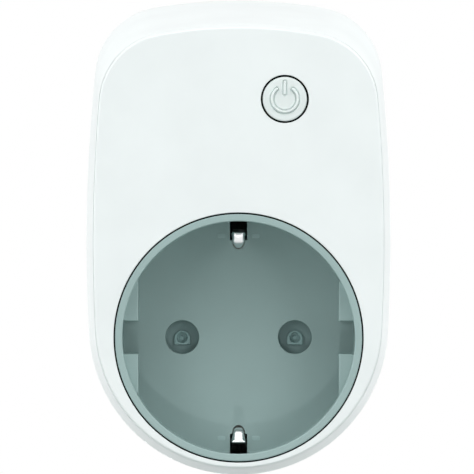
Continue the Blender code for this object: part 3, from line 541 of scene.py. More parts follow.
class Paint(Tree):
    """A material's node tree, with its Principled shader and Object coordinates at hand."""

    def __init__(self, name):
        self.material = bpy.data.materials.new(name)
        self.material.use_nodes = True
        super().__init__(self.material.node_tree)
        self.shader = self.tree.nodes["Principled BSDF"]
        self.place = self.node("ShaderNodeTexCoord", {}, {}, "Object")

    def noise(self, scale, detail=2.0, stretch=(1.0, 1.0, 1.0), rough=0.5):
        """Noise in Object coordinates, stretched along the axes given."""
        place = self.node("ShaderNodeMapping", {}, {"Vector": self.place, "Scale": stretch})
        return self.node("ShaderNodeTexNoise", {}, {
            "Vector": place, "Scale": scale, "Detail": detail, "Roughness": rough})

    def mix(self, share, first, second):
        """A colour between two, by a share from 0 to 1."""
        return self.node("ShaderNodeMix", {"data_type": "RGBA"}, {0: share, 6: first, 7: second}, 2)

    def band(self, value, low, high, start=0.0, end=1.0):
        """Map a value from one range to another, and stop at its ends."""
        return self.node("ShaderNodeMapRange", {"clamp": True}, {0: value, 1: low, 2: high, 3: start, 4: end})

    def bump(self, height, strength, distance):
        """The normal of a surface raised by up to a distance where the height is 1."""
        return self.node("ShaderNodeBump", {}, {
            "Height": height, "Strength": strength, "Distance": distance})

    def put(self, **sockets):
        """Set or link the shader's sockets, named with _ for a space."""
        self.feed(self.shader, {key.replace("_", " "): value for key, value in sockets.items()})
        return self.material


def shade(base, factor):
    """A colour scaled in brightness, with its alpha."""
    return tuple(min(part * factor, 1.0) for part in base) + (1.0,)


def moulded(name, base, roughness, cloud=0.02, shine=0.5):
    """Moulded plastic: a fine spark-eroded grain, and clouds of slightly paler and darker colour."""
    paint = Paint(name)
    fine = paint.noise(5200.0, 3.0)
    broad = paint.noise(90.0, 3.0)
    tone = paint.mix(paint.band(broad, 0.3, 0.7), shade(base, 1 - cloud), shade(base, 1 + cloud))
    return paint.put(
        Base_Color=tone, Roughness=paint.band(fine, 0.25, 0.75, roughness - 0.05, roughness + 0.06),
        Normal=paint.bump(fine, 0.04, 0.05 * MM), IOR=1.48, Specular_IOR_Level=shine)


def metal(name, base, roughness, stretch, streak=0.05):
    """Plated or rolled metal: streaks along one axis in roughness and tone, and small stains."""
    paint = Paint(name)
    lines = paint.noise(2600.0, 4.0, stretch)
    stain = paint.noise(240.0, 4.0)
    mixed = lines * 0.6 + stain * 0.4
    tone = paint.mix(paint.band(mixed, 0.3, 0.7), shade(base, 1 - streak), shade(base, 1 + streak))
    return paint.put(
        Base_Color=tone, Metallic=1.0, Normal=paint.bump(lines, 0.06, 0.02 * MM),
        Roughness=paint.band(mixed, 0.3, 0.7, roughness - 0.06, roughness + 0.08))


def laminate(name, base):
    """A printed board: solder mask over a weave, with paler tracks along the borders of square cells."""
    paint = Paint(name)
    weave = paint.noise(1800.0, 2.0, (1.0, 1.0, 0.2))
    cells = paint.node("ShaderNodeTexVoronoi", {"distance": "MANHATTAN"}, {
        "Vector": paint.place, "Scale": 420.0})
    track = paint.band(cells, 0.32, 0.36)
    tone = paint.mix(track * 0.6 + weave * 0.2, shade(base, 0.8), shade(base, 1.9))
    return paint.put(Base_Color=tone, Roughness=paint.band(weave, 0.3, 0.7, 0.3, 0.45),
                     Normal=paint.bump(track, 0.2, 0.03 * MM), Coat_Weight=0.2)


def wound_tape(name, base):
    """Film tape wound on a core: narrow bands along the depth, with a soft sheen."""
    paint = Paint(name)
    bands = paint.node("ShaderNodeTexWave", {"bands_direction": "Y"}, {
        "Vector": paint.place, "Scale": 160.0, "Distortion": 0.6, "Detail": 2.0})
    tone = paint.mix(paint.band(bands, 0.1, 0.4), shade(base, 0.7), shade(base, 1.05))
    return paint.put(Base_Color=tone, Roughness=paint.band(bands, 0.0, 1.0, 0.28, 0.42),
                     Normal=paint.bump(bands, 0.2, 0.04 * MM))


FINISHES = {}


def finished(slot):
    """The material of one of the record's slots or of a tone beside them, made once."""
    if slot not in FINISHES:
        tones = bpy.context.scene.plug_finish
        recipes = {
            "white_plastic": (moulded, tones.white, 0.42),
            "button_plastic": (moulded, tones.button, 0.42),
            "grey_plastic": (moulded, tones.grey, 0.5),
            # A paler copy of the socket grey for the slot pads: painted highlight
            "polished_grey": (moulded, shade(tones.grey, 1.18)[:3], 0.36),
            "shutter_plastic": (moulded, tones.shutter, 0.5),
            # A paler copy of the shutter grey for its pads: painted highlight
            "polished_shutter": (moulded, shade(tones.shutter, 1.3)[:3], 0.45),
            # Near-black with almost no sheen, for the rings in the gaps: painted shade
            "seal_rubber": (moulded, (0.004, 0.005, 0.005), 0.7, 0.2, 0.02),
            "carrier_plastic": (moulded, (0.75, 0.73, 0.66), 0.5),
            "black_plastic": (moulded, (0.03, 0.03, 0.03), 0.4, 0.2),
            "blue_coating": (moulded, (0.05, 0.16, 0.4), 0.32, 0.12),
            "spring_steel": (metal, tones.steel, 0.3, (0.1, 1.0, 1.0)),
            "nickel_plate": (metal, tones.nickel, 0.22, (1.0, 0.08, 1.0)),
            "brass_sheet": (metal, (0.75, 0.58, 0.26), 0.3, (1.0, 0.1, 1.0), 0.1),
            "zinc_screw": (metal, (0.58, 0.58, 0.6), 0.34, (1.0, 1.0, 1.0), 0.1),
            "shield_can": (metal, (0.66, 0.66, 0.64), 0.36, (0.1, 1.0, 1.0)),
            "board_laminate": (laminate, (0.05, 0.2, 0.1)),
            "winding_tape": (wound_tape, (0.7, 0.55, 0.1)),
        }
        make, *values = recipes[slot]
        FINISHES[slot] = make(slot, *values)
    return FINISHES[slot]


def hole_edge(radius, rounding, near, far, down=1):
    """(radius, depth) pairs of a hole: a support ring, a rounded lip at one depth, then its wall."""
    lip = rounded(radius, near, rounding, 5, down=down)
    return [(radius + rounding + SUPPORT, near), *lip, (radius, far)]


def sizes(context, *names):
    """The scene's property groups of these names."""
    return [getattr(context.scene, f"plug_{name}") for name in names]


def screw_places():
    """Where the four housing screws stand, from their CAD nodes."""
    boxes = [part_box(f"housing_screw_{number}") for number in range(1, 5)]
    return [((low.x + high.x) / 2, (low.z + high.z) / 2) for low, high in boxes]


def pin_places(socket, height=0.0):
    """The middles of the left and the right pin hole, at a height above the socket axis."""
    return [np.array([side * socket.pin_spacing / 2, height]) for side in (-1, 1)]


class PLUG_OT_front_cover(bpy.types.Operator):
    """Build the white cover with its socket hole and button hole"""
    bl_idname = "smart_plug.front_cover"
    bl_label = "Front cover"

    def execute(self, context):
        body, socket, button = sizes(context, "body", "socket", "button")
        chamfer, lip = 0.06 * MM, 0.12 * MM
        boss, bore, boss_end = 3.0 * MM, 1.6 * MM, 9.7 * MM
        rows = [(body.edge_radius + SUPPORT, 0.0), *rounded(0.0, 0.0, body.edge_radius, 8),
                (0.0, body.cover - chamfer), (chamfer, body.cover)]
        skin = Skin()
        skin.grid(layers((cover_outline(body, depth, inset), depth) for inset, depth in rows))
        holes = []
        for centre, radius, count in (((0, 0), socket.hole_radius, RIM_SIDES),
                                      ((button.x, button.z), button.radius + button.gap, BUTTON_SIDES)):
            profile = hole_edge(radius, lip, 0.0, body.cover - chamfer) + [(radius + chamfer, body.cover)]
            holes.append(skin.hole(profile, centre, count))
        front, rear = zip(*holes)
        skin.flat(cover_outline(body, 0.0, rows[0][0]), front, 0.0)
        skin.flat(cover_outline(body, body.cover, chamfer), rear, body.cover)
        profile = [(0.0, body.cover), (boss, body.cover), (boss, boss_end), (bore, boss_end),
                   (bore, body.cover + chamfer), (0.0, body.cover + chamfer)]
        for place in screw_places():
            skin.grid(lathe(profile, place, count=40))
        skin.piece("cover_shell", "white_plastic", ["front_cover"])
        return {"FINISHED"}


def plug_boss(skin, body, socket, end):
    """The plug boss: its grooved outline carried back, then the plain one, rounded over to the end face."""
    tip, rounding, pin_hole = body.depth + end.length, 0.7 * MM, end.pin_radius + 0.3 * MM
    grooved, plain = boss_outline(end, True), boss_outline(end, False)
    face = boss_outline(end, False, rounding + SUPPORT)
    rows = [(grooved, depth) for depth in np.linspace(body.depth, end.groove_end, 6)]
    rows += [(plain, end.groove_end), (plain, tip - rounding)]
    rows += [(boss_outline(end, False, inset), depth)
             for inset, depth in rounded(0.0, tip, rounding, 7, down=-1)[-2::-1]]
    skin.grid(layers([*rows, (face, tip)]))
    left, right = pin_places(socket)
    bores = ((left, pin_hole), (right, pin_hole), ((0.0, end.earth_height), end.earth_radius))
    holes = [skin.hole(hole_edge(radius, 0.25 * MM, tip, tip - 2 * MM, -1), centre, count=72)[0]
             for centre, radius in bores]
    skin.flat(face, holes, tip)


class PLUG_OT_rear_housing(bpy.types.Operator):
    """Build the flared white housing with its plug boss"""
    bl_idname = "smart_plug.rear_housing"
    bl_label = "Rear housing"

    def execute(self, context):
        body, socket, end = sizes(context, "body", "socket", "end")
        front, chamfer = body.cover + body.seam, 0.06 * MM
        head, bore, seat, bore_end = 2.7 * MM, 1.6 * MM, 36.9 * MM, 31.9 * MM
        share = np.linspace(0.0, 1.0, 9)
        start, stop = front + chamfer, body.depth - body.rear_radius
        rows = [(chamfer - body.ledge, front), (chamfer * 0.3 - body.ledge, front + chamfer * 0.3),
                *zip(-body.ledge * (1 - share), start + (stop - start) * share),
                *rounded(0.0, body.depth, body.rear_radius, 9, down=-1)[-2::-1],
                (body.rear_radius + SUPPORT, body.depth)]
        skin = Skin()
        skin.grid(layers((body_outline(body, depth, inset), depth) for inset, depth in rows))
        profile = hole_edge(head, 0.2 * MM, body.depth, seat, -1) + [(bore, seat), (bore, bore_end)]
        holes = [skin.hole(profile, place, count=64)[0] for place in screw_places()]
        skin.flat(body_outline(body, body.depth, rows[-1][0]), [*holes, boss_outline(end, True)], body.depth)
        plug_boss(skin, body, socket, end)
        rear_face = (0.0, FACE_Y + body.depth, 30 * MM)
        skin.piece("housing_shell", "white_plastic", ["rear_housing"], body.wall,
                   (rear_face, (0, 1, 0)))
        return {"FINISHED"}


def earth_slots(skin, socket, wall_edge, floor_edge, small):
    """The two earth slots: each runs through the floor and opens a pocket in the wall above it."""
    deep, rear = socket.recess_depth, socket.recess_depth + socket.floor
    top = deep - socket.slot_rise
    steps = [(wall_edge, top), (wall_edge, deep - small), (floor_edge, deep), (floor_edge, rear)]
    pocket = layers((slot_path(socket, edge, socket.slot_outer), depth) for edge, depth in steps)
    sides = layers((slot_mouth(socket, floor_edge), depth) for depth in (deep, rear))
    across = slot_arc(socket, socket.recess_radius)
    roof = np.concatenate([across, slot_path(socket, wall_edge, socket.slot_outer)[-2:0:-1]])
    for way in (1, -1):
        skin.grid(pocket * (1, 1, way), False)
        skin.grid(sides * (1, 1, way), False)
        skin.flat(roof * (1, way), [], top)


def slot_bumps(deep):
    """A raised pad at each side of each earth slot, from a sunk foot to a rounded top. Its paler grey is a
    painted highlight for the light the pads' tops catch.
    """
    half, rounding, foot, top = np.array([0.68, 0.4]) * MM, 0.04 * MM, deep + 0.02 * MM, deep - 0.04 * MM
    across, up = 2.9 * MM, 17.05 * MM
    rows = [(half, foot), (0.0, foot), *rounded(0.0, top, rounding, 5)[::-1], (half, top)]
    outline = superellipse(4.0, 64)
    pad = layers((outline * (half - inset), depth) for inset, depth in rows)
    skin = Skin()
    for x in (-across, across):
        for z in (-up, up):
            skin.grid(pad + (x, 0.0, z))
    # The pads take the paler grey: painted highlight
    skin.piece("slot_bumps", "grey_plastic", tone="polished_grey")


class PLUG_OT_socket_insert(bpy.types.Operator):
    """Build the grey socket insert: rim, ledges, recess, pin holes and earth slots"""
    bl_idname = "smart_plug.socket_insert"
    bl_label = "Socket insert"

    def execute(self, context):
        socket = context.scene.plug_socket
        small, lip, cup_wall = 0.12 * MM, 0.18 * MM, 0.5 * MM
        radius, deep, setback = socket.recess_radius, socket.recess_depth, socket.ledge_setback
        top = deep - socket.slot_rise
        wall = recess_quarter(socket, radius, socket.ledge, socket.notch)
        floor = recess_quarter(socket, radius - small, socket.ledge - small, socket.notch - small)
        brink = recess_quarter(socket, radius, socket.ledge + small, socket.notch + small)
        rim = [(socket.rim_radius, 2.0 * MM), (socket.rim_radius, lip),
               *rounded(socket.rim_radius, 0.0, lip, 5, out=-1)[-2::-1],
               (socket.rim_radius - lip - SUPPORT, 0.0), (radius + lip + SUPPORT, 0.0),
               *rounded(radius, 0.0, lip, 5), (radius, setback - small), (radius, setback)]
        rows = [(rim_quarter(socket, around), depth) for around, depth in rim]
        rows += [(brink, setback), *((wall, depth) for depth in np.linspace(setback + small, top, 6))]
        skin = Skin()
        skin.grid(layers((whole(socket, quarter), depth) for quarter, depth in rows))
        right = right_side(floor)
        rows = [(right_side(wall), depth) for depth in np.linspace(top, deep - small, 4)]
        side = layers([*rows, (right, deep)])
        for way in (1, -1):
            skin.grid(side * (way, 1, 1), False)
        earth_slots(skin, socket, wall[-1, 1], floor[-1, 1], small)
        slot = slot_mouth(socket, floor[-1, 1])
        loop = np.concatenate([right, slot[1:-1], right[::-1] * (-1, 1), slot[-2:0:-1] * (1, -1)])
        profile = hole_edge(socket.pin_hole, small, deep, deep + socket.floor)
        skin.flat(loop, [skin.hole(profile, place, count=96)[0] for place in pin_places(socket)], deep)
        skin.piece("recess_cup", "grey_plastic", ["socket_insert"], cup_wall,
                   ((0.0, FACE_Y + deep, 0.0), (0, -1, 0)))
        slot_bumps(deep)
        return {"FINISHED"}


def ribbon(path, half_width, front, back):
    """A bent strip: a section carried along a path of (depth, z). Its corners are quarter ellipses. front and
    back give how far that face lies from the path, and how far its corners reach across and through it."""
    run = np.gradient(path, axis=0)
    run /= np.hypot(run[:, 0], run[:, 1])[:, None]
    across = np.column_stack([-run[:, 1], run[:, 0]])
    quarter = np.repeat(np.arange(4), 9) * QUARTER
    turn = quarter + np.tile(np.linspace(0.0, QUARTER, 9), 4)
    side, face = np.sign(np.cos(quarter + QUARTER / 2)), np.sign(np.sin(quarter + QUARTER / 2))
    away, wide, high = (np.where(face > 0, np.reshape(rear, (-1, 1)), np.reshape(fore, (-1, 1)))
                        for rear, fore in zip(back, front))
    x = side * (half_width[:, None] - wide) + wide * np.cos(turn)
    off = face * (away - high) + high * np.sin(turn)
    y, z = (path[:, [axis]] + off * across[:, [axis]] for axis in (0, 1))
    points = np.stack([x, FACE_Y + y, z], axis=-1)
    ends = np.repeat(points[[0, -1]].mean(axis=1, keepdims=True), points.shape[1], axis=1)
    return np.concatenate([ends[:1], points, ends[1:]])


def path_ends(path):
    """How far each point of a path lies from the nearer end, along the path."""
    run = np.concatenate([[0.0], np.cumsum(np.hypot(*np.diff(path, axis=0).T))])
    return np.minimum(run, run[-1] - run)


class PLUG_OT_earth_clips(bpy.types.Operator):
    """Build the earth bracket with its two sprung clips"""
    bl_idname = "smart_plug.earth_clips"
    bl_label = "Earth clips"

    def execute(self, context):
        # Bends as (depth, height), then half widths and the crown by the distance from the nearer tip
        rest = [(9.2, 15.95), (17.5, 17.75), (22.0, 17.9), (24.7, 17.9)]
        upper = np.array([(3.6, 17.6), (3.68, 16.85), (4.45, 15.95), (5.5, 15.66), (7.2, 15.62), *rest])
        lower = np.array([(3.6, 17.6), (3.72, 16.9), (4.25, 16.0), (5.2, 15.78), (7.2, 15.75), *rest])
        path = smoothed(np.concatenate([upper, lower[::-1] * (1, -1)]) * MM)
        run = path_ends(path) / MM
        high = np.interp(run, (0.0, 0.8, 1.3, 1.9, 2.3, 3.0, 5.0, 9.0, 14.0),
                         (0.96, 0.96, 1.08, 0.98, 0.78, 0.68, 0.7, 0.95, 1.15))
        low = np.interp(run, (0.0, 0.2, 0.3, 1.4, 2.0, 2.6, 5.0, 9.0, 14.0),
                        (1.15, 1.15, 0.82, 0.86, 0.88, 0.8, 0.8, 0.95, 1.15))
        crown = np.interp(run, (0.0, 0.4, 5.0, 9.0), (0.3, 1.0, 1.0, 0.0))
        front = np.array((0.3 + 0.32 * crown, 0.28 + 0.27 * crown, 0.28 + 0.32 * crown)) * MM
        back = np.array((0.3, 0.28, 0.28)) * MM
        strip = ribbon(path, np.where(path[:, 1] > 0, high, low) * MM, front, back)
        Skin().grid(strip).piece("earth_clip_strip", "spring_steel", ["earth_bracket"])
        return {"FINISHED"}


def closing_pad(centre, dish, face):
    """An arched pad with a flat foot and a dished middle: rows from the arched outline, drawn in towards
    the dish, to circles of falling radius round the dish and its centre stud."""
    radius, base, bend, rise = 1.36 * MM, 1.29 * MM, 0.25 * MM, -0.28 * MM
    foot, top = face + 1.0 * MM, face - 0.7 * MM
    right = np.concatenate([
        line((0.0, -base), (radius - bend, -base), 8),
        arc((radius - bend, -base + bend), bend, -QUARTER, 0.0, 6),
        line((radius, -base + bend), (radius, rise), 8),
        arc((0.0, rise), radius, 0.0, QUARTER, 24)])
    outline = np.concatenate([right, [(0.0, rise + radius)], right[:0:-1] * (-1, 1)]) - dish
    ring = outline / np.hypot(outline[:, 0], outline[:, 1])[:, None]
    steps = [(0.0, foot), (1.0, foot), (1.0, top + 0.1 * MM), (0.97, top + 0.03 * MM), (0.92, top)]
    bowl = [(0.93, 0.0), (0.89, 0.06), (0.85, 1.55), (0.4, 1.55), (0.37, 1.3), (0.14, 1.26), (0.0, 1.26)]
    rows = [(centre + outline * scale, depth) for scale, depth in steps]
    return layers(rows + [(centre + ring * r * MM, top + fall * MM) for r, fall in bowl])


class PLUG_OT_shutter(bpy.types.Operator):
    """Build the sliding shutter with the raised pad behind each pin hole"""
    bl_idname = "smart_plug.shutter"
    bl_label = "Shutter"

    def execute(self, context):
        socket = context.scene.plug_socket
        low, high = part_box("shutter_slider")
        face, back = low.y - FACE_Y + 0.75 * MM, high.y - FACE_Y
        edge, window, lip = 0.3 * MM, 2.95 * MM, 0.12 * MM
        well, well_floor, dish = 0.98 * MM, face + 1.05 * MM, np.array([0.0, -0.1 * MM])
        centre = np.array([0.0, (low.z + high.z) / 2])
        half = np.array([high.x, (high.z - low.z) / 2])
        outline = superellipse(14.0, 160)
        rows = [(edge + SUPPORT, face), *rounded(0.0, face, edge, 5), (0.0, back - SUPPORT), (SUPPORT, back)]
        rows = [(centre + outline * (half - inset), depth) for inset, depth in rows]
        skin, pads = Skin(), Skin()
        skin.grid(layers(rows))
        profile = hole_edge(window, lip, face, back - SUPPORT) + [(window + SUPPORT, back)]
        places = pin_places(socket, -socket.shutter_travel)
        front, rear = zip(*(skin.hole(profile, place, count=64) for place in places))
        wells = []
        for place in pin_places(socket):
            pads.grid(closing_pad(place + dish, dish, face))
            profile = [(well, face), (well, well_floor), (0.0, well_floor)]
            wells.append(skin.hole(profile, place + dish, count=48)[0])
        skin.flat(rows[0][0], [*front, *wells], face)
        skin.flat(rows[-1][0], rear, back)
        skin.piece("shutter_plate", "shutter_plastic", ["shutter_slider"], body="shutter")
        # The pads take a paler copy of the shutter's grey: painted highlight for the light that reaches them
        pads.piece("shutter_pads", "shutter_plastic", tone="polished_shutter", body="shutter")
        return {"FINISHED"}


def coil_grid(low, high, wire, turns):
    """A round wire along a helix: at turn t its middle lies at a fixed radius, at (cos t, sin t), and
    rises evenly from the node's foot to its top. A circle of the wire's radius stands across it."""
    turn = np.linspace(0.0, TURN * turns, 24 * turns + 1)
    out = np.column_stack([np.cos(turn), np.sin(turn), 0 * turn])
    middle = ((high.x - low.x) / 2 - wire) * out
    middle[:, 1] += (low.y + high.y) / 2
    middle[:, 2] = np.linspace(low.z + wire, high.z - wire, len(turn))
    along = np.gradient(middle, axis=0)
    along /= np.linalg.norm(along, axis=1, keepdims=True)
    side = np.cross(along, out)
    angle = np.linspace(0.0, TURN, 12, endpoint=False)[None, :, None]
    tube = middle[:, None] + wire * (np.cos(angle) * out[:, None] + np.sin(angle) * side[:, None])
    ends = np.repeat(middle[[0, -1]][:, None], tube.shape[1], axis=1)
    return np.concatenate([ends[:1], tube, ends[1:]])


class PLUG_OT_spring(bpy.types.Operator):
    """Build the shutter's coil spring as it stands at rest; in the real plug it shortens as the shutter
    slides
    """
    bl_idname = "smart_plug.spring"
    bl_label = "Shutter spring"

    def execute(self, context):
        low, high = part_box("shutter_spring")
        coil = coil_grid(low, high, wire=0.2 * MM, turns=7)
        made = Skin().grid(coil).piece("spring_coil", "spring_steel", ["shutter_spring"])
        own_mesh(made)
        return {"FINISHED"}


def button_front(button, radius, front):
    """The face as rings of points. With d the distance to the mark's middle line, which is an open ring
    and a bar, it stands out by 3t^2 - 2t^3 of the mark's height, where t goes from 0 at the line's edge
    to 1 near its middle, and dips round that edge as exp(-(d - edge)^2 / spread^2)."""
    half = button.mark_line / 2
    flank, dip, spread = 0.22 * MM, 0.34 * MM, 0.1 * MM
    bar_foot, bar_top = 0.6 * MM + half, 3.15 * MM - half
    gap = math.radians(31) + half / button.mark_radius
    out = np.linspace(0.0, radius, 76)[:, None]
    turn = np.linspace(0.0, TURN, 224, endpoint=False)
    x, z = out * np.cos(turn), out * np.sin(turn)
    from_top = np.abs((turn + QUARTER) % TURN - 2 * QUARTER)
    past = np.cos(np.maximum(gap - from_top, 0.0))
    ring = np.sqrt(out ** 2 + button.mark_radius ** 2 - 2 * out * button.mark_radius * past)
    bar = np.hypot(x, z - np.clip(z, bar_foot, bar_top))
    away = np.minimum(ring, bar)
    share = np.clip((half - away) / flank, 0.0, 1.0)
    depth = front - button.mark_height * share ** 2 * (3 - 2 * share)
    depth += dip * np.exp(-((away - half) / spread) ** 2)
    depth[-1] = front
    return np.stack([button.x + x, FACE_Y + depth, button.z + z], axis=-1)


class PLUG_OT_button(bpy.types.Operator):
    """Build the round button with its raised standby mark"""
    bl_idname = "smart_plug.button"
    bl_label = "Button"

    def execute(self, context):
        button = context.scene.plug_button
        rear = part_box("button_cap")[1].y - FACE_Y
        front, edge = 0.05 * MM, 0.3 * MM
        flange, flange_end, wide, stem = 2.3 * MM, 3.0 * MM, 4.78 * MM, 1.6 * MM
        face = button_front(button, button.radius - edge - SUPPORT, front)
        profile = [*rounded(button.radius, front, edge, 7, out=-1), (button.radius, flange), (wide, flange),
                   (wide, flange_end), (stem, flange_end), (stem, rear), (0.0, rear)]
        cap = np.concatenate([face, lathe(profile, (button.x, button.z), face.shape[1])])
        skin = Skin().grid(cap)
        skin.piece("button_face", "white_plastic", ["button_cap"], tone="button_plastic", body="button")
        return {"FINISHED"}


class PLUG_OT_gap_shades(bpy.types.Operator):
    """Build two near-black rings deep in the gaps round the socket's rim and round the button: painted shade
    for these gaps
    """
    bl_idname = "smart_plug.seals"
    bl_label = "Seals"

    def execute(self, context):
        body, socket, button = sizes(context, "body", "socket", "button")
        play, front, rear = 0.03 * MM, 0.42 * MM, body.cover - 0.1 * MM
        for name, centre, inner, outer, count in (
                ("socket_seal", (0, 0), socket.rim_radius, socket.hole_radius, RIM_SIDES),
                ("button_seal", (button.x, button.z), button.radius, button.radius + button.gap,
                 BUTTON_SIDES)):
            near, far = inner + play, outer - play
            profile = [(near, front), (far, front), (far, rear), (near, rear), (near, front)]
            ring = lathe(profile, centre, count)
            # Each ring sits in a gap and paints that gap's shadow: painted shade
            Skin().grid(ring).piece(name, "black_plastic", tone="seal_rubber")
        return {"FINISHED"}


def pin_profile(end, face):
    """(radius, depth) pairs of a pin: its root and collar in the boss, its shank, and half a ball."""
    radius, tip = end.pin_radius, face + end.pin_length
    collar, collar_end, root, stub = face - 3.5 * MM, face - 2.3 * MM, face - 4.5 * MM, 1.5 * MM
    wide = 3.7 * MM
    dome = [(radius * math.cos(turn), tip - radius + radius * math.sin(turn))
            for turn in np.linspace(0.0, QUARTER, 12)]
    return [(0.0, root), (stub, root), (wide, collar), (wide, collar_end), (radius, collar_end),
            (radius, face + 2 * MM), (radius, face + 9 * MM), *dome]


def earth_strips():
    """The bent earth frame: two legs along the boss's grooves and the bar that joins them."""
    low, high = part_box("plug_earth_frame")
    sheet, bevel, bow = 0.8 * MM, 0.2 * MM, 0.25 * MM
    leg, bar, last = high.z - sheet / 2, low.y - FACE_Y + sheet / 2, high.y - FACE_Y
    half = np.array([(last, leg - 0.7 * MM), (last - 1.2 * MM, leg - 0.35 * MM), (last - 5 * MM, leg),
                     (bar + 6 * MM, leg), (bar, leg - bow)])
    path = smoothed(np.concatenate([half, half[::-1] * (1, -1)]))
    wide = np.interp(path_ends(path) / MM, (0.0, 0.4, 1.2, 30.0), (1.5, 1.85, 2.0, 2.0)) * MM
    section = (sheet / 2, bevel, bevel)
    return ribbon(path, wide, section, section)


def earth_tube(end):
    """The earth sleeve: a tube with both edges of its mouth cut back."""
    low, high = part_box("earth_sleeve")
    near, far = low.y - FACE_Y, high.y - FACE_Y
    outer, bore, lip = (high.x - low.x) / 2, end.earth_radius, 0.3 * MM
    profile = [(outer, near), (outer, far - lip), (outer - lip, far), (bore + lip, far), (bore, far - lip),
               (bore, near), (outer, near)]
    return lathe(profile, (0.0, end.earth_height), 72)


class PLUG_OT_pins(bpy.types.Operator):
    """Build the two pins, the earth strips and the earth sleeve of the plug end"""
    bl_idname = "smart_plug.pins"
    bl_label = "Pins and earth strips"

    def execute(self, context):
        body, socket, end = sizes(context, "body", "socket", "end")
        left, right = pin_places(socket)
        pin = pin_profile(end, body.depth + end.length)
        for name, node, grid in (("pin_left", "neutral_pin", lathe(pin, left, count=72)),
                                 ("pin_right", "live_pin", lathe(pin, right, count=72)),
                                 ("earth_strips", "plug_earth_frame", earth_strips()),
                                 ("earth_tube", "earth_sleeve", earth_tube(end))):
            Skin().grid(grid).piece(name, "nickel_plate", [node])
        return {"FINISHED"}


def screw_grid(place, tip, top):
    """A lathe grid whose head falls away from its middle as the square of the radius, less a cross:
    the cross is as deep as its floor where either |x| or |z| is under half its width."""
    count, shank, head, under, point = 120, 1.3 * MM, 2.4 * MM, 2.0 * MM, 1.5 * MM
    crown, cross_depth, cross_half, cross_reach = 0.35 * MM, 0.95 * MM, 0.46 * MM, 1.38 * MM
    radii = np.concatenate([np.linspace(0.0, 1.5, 24), np.linspace(1.56, 2.25, 8)])[:, None] * MM
    angle = np.linspace(0.0, TURN, count, endpoint=False)
    x, z = radii * np.cos(angle), radii * np.sin(angle)
    arm = np.minimum(np.abs(x), np.abs(z))
    reach = np.clip((cross_reach - radii) / (0.35 * MM), 0.0, 1.0)
    cross = np.clip((cross_half - arm) / (0.16 * MM), 0.0, 1.0) * reach
    depth = top - crown * (radii / head) ** 2 - cross_depth * cross
    dome = np.stack([place[0] + x, FACE_Y + depth, place[1] + z], axis=-1)
    rest = [(2.38 * MM, top - 0.55 * MM), (head, top - 0.8 * MM), (head, top - under),
            (shank, top - under), (shank, tip + point), (0.0, tip)]
    return np.concatenate([dome, lathe(rest, place, count)])


class PLUG_OT_screws(bpy.types.Operator):
    """Build the four housing screws with domed heads and cross recesses"""
    bl_idname = "smart_plug.screws"
    bl_label = "Housing screws"

    def execute(self, context):
        for number, place in enumerate(screw_places(), 1):
            node = f"housing_screw_{number}"
            low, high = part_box(node)
            grid = screw_grid(place, low.y - FACE_Y, high.y - FACE_Y)
            Skin().grid(grid).piece(f"screw_{number}", "zinc_screw", [node])
        return {"FINISHED"}


class PLUG_OT_inner_finishes(bpy.types.Operator):
    """Give each CAD node that is still shown the finish of its slot"""
    bl_idname = "smart_plug.inner_finishes"
    bl_label = "Inner finishes"

    def execute(self, context):
        for entry in frame["record"]["subparts"]:
            node = frame["nodes"][entry["node"]]
            node.data.materials.clear()
            node.data.materials.append(finished(entry["material_slot"]))
        return {"FINISHED"}


# Each lamp's turn to the right of the camera and its rise, in degrees, and its width in metres
MIDDLE_LAMPS = {"key": (0, 55, 0.4), "low": (0, -16.6, 0.03), "back": (180, 0, 0.14)}
SIDE_LAMPS = {"front": (30, 8, 0.3), "raised": (35, 28, 0.3), "side": (75, 10, 0.3), "edge": (97, 3, 0.4),
              "upper": (85, 45, 0.4)}
LAMP_DISTANCE = 0.9


def add_lamp(name, turn, rise, width, power):
    """A round lamp that looks at the socket's middle from a turn and a rise in degrees."""
    turn, rise = math.radians(turn), math.radians(rise)
    aim = Vector((0.0, FACE_Y, 0.0))
    way = Vector((math.sin(turn) * math.cos(rise), -math.cos(turn) * math.cos(rise), math.sin(rise)))
    light = bpy.data.lights.new(name, "AREA")
    light.shape = "DISK"
    light.size = width
    light.energy = power
    holder = bpy.data.objects.new(name, light)
    holder.location = aim + way * LAMP_DISTANCE
    holder.rotation_euler = (-way).to_track_quat("-Z", "Y").to_euler()
    holder.visible_camera = False
    bpy.context.scene.collection.objects.link(holder)


def add_surround(scene, stage):
    """A world that is white to the eye and in reflections, and dimmer as a light."""
    scene.world = bpy.data.worlds.new("surround")
    scene.world.use_nodes = True
    tree = Tree(scene.world.node_tree)
    lit, white = (tree.node("ShaderNodeBackground", {}, {"Color": WHITE, "Strength": strength})
                  for strength in (stage.ambient, 1.0))
    mixed = tree.node("ShaderNodeMixShader", {}, {0: tree.seen(), 1: lit, 2: white})
    tree.feed(tree.tree.nodes["World Output"], {"Surface": mixed})


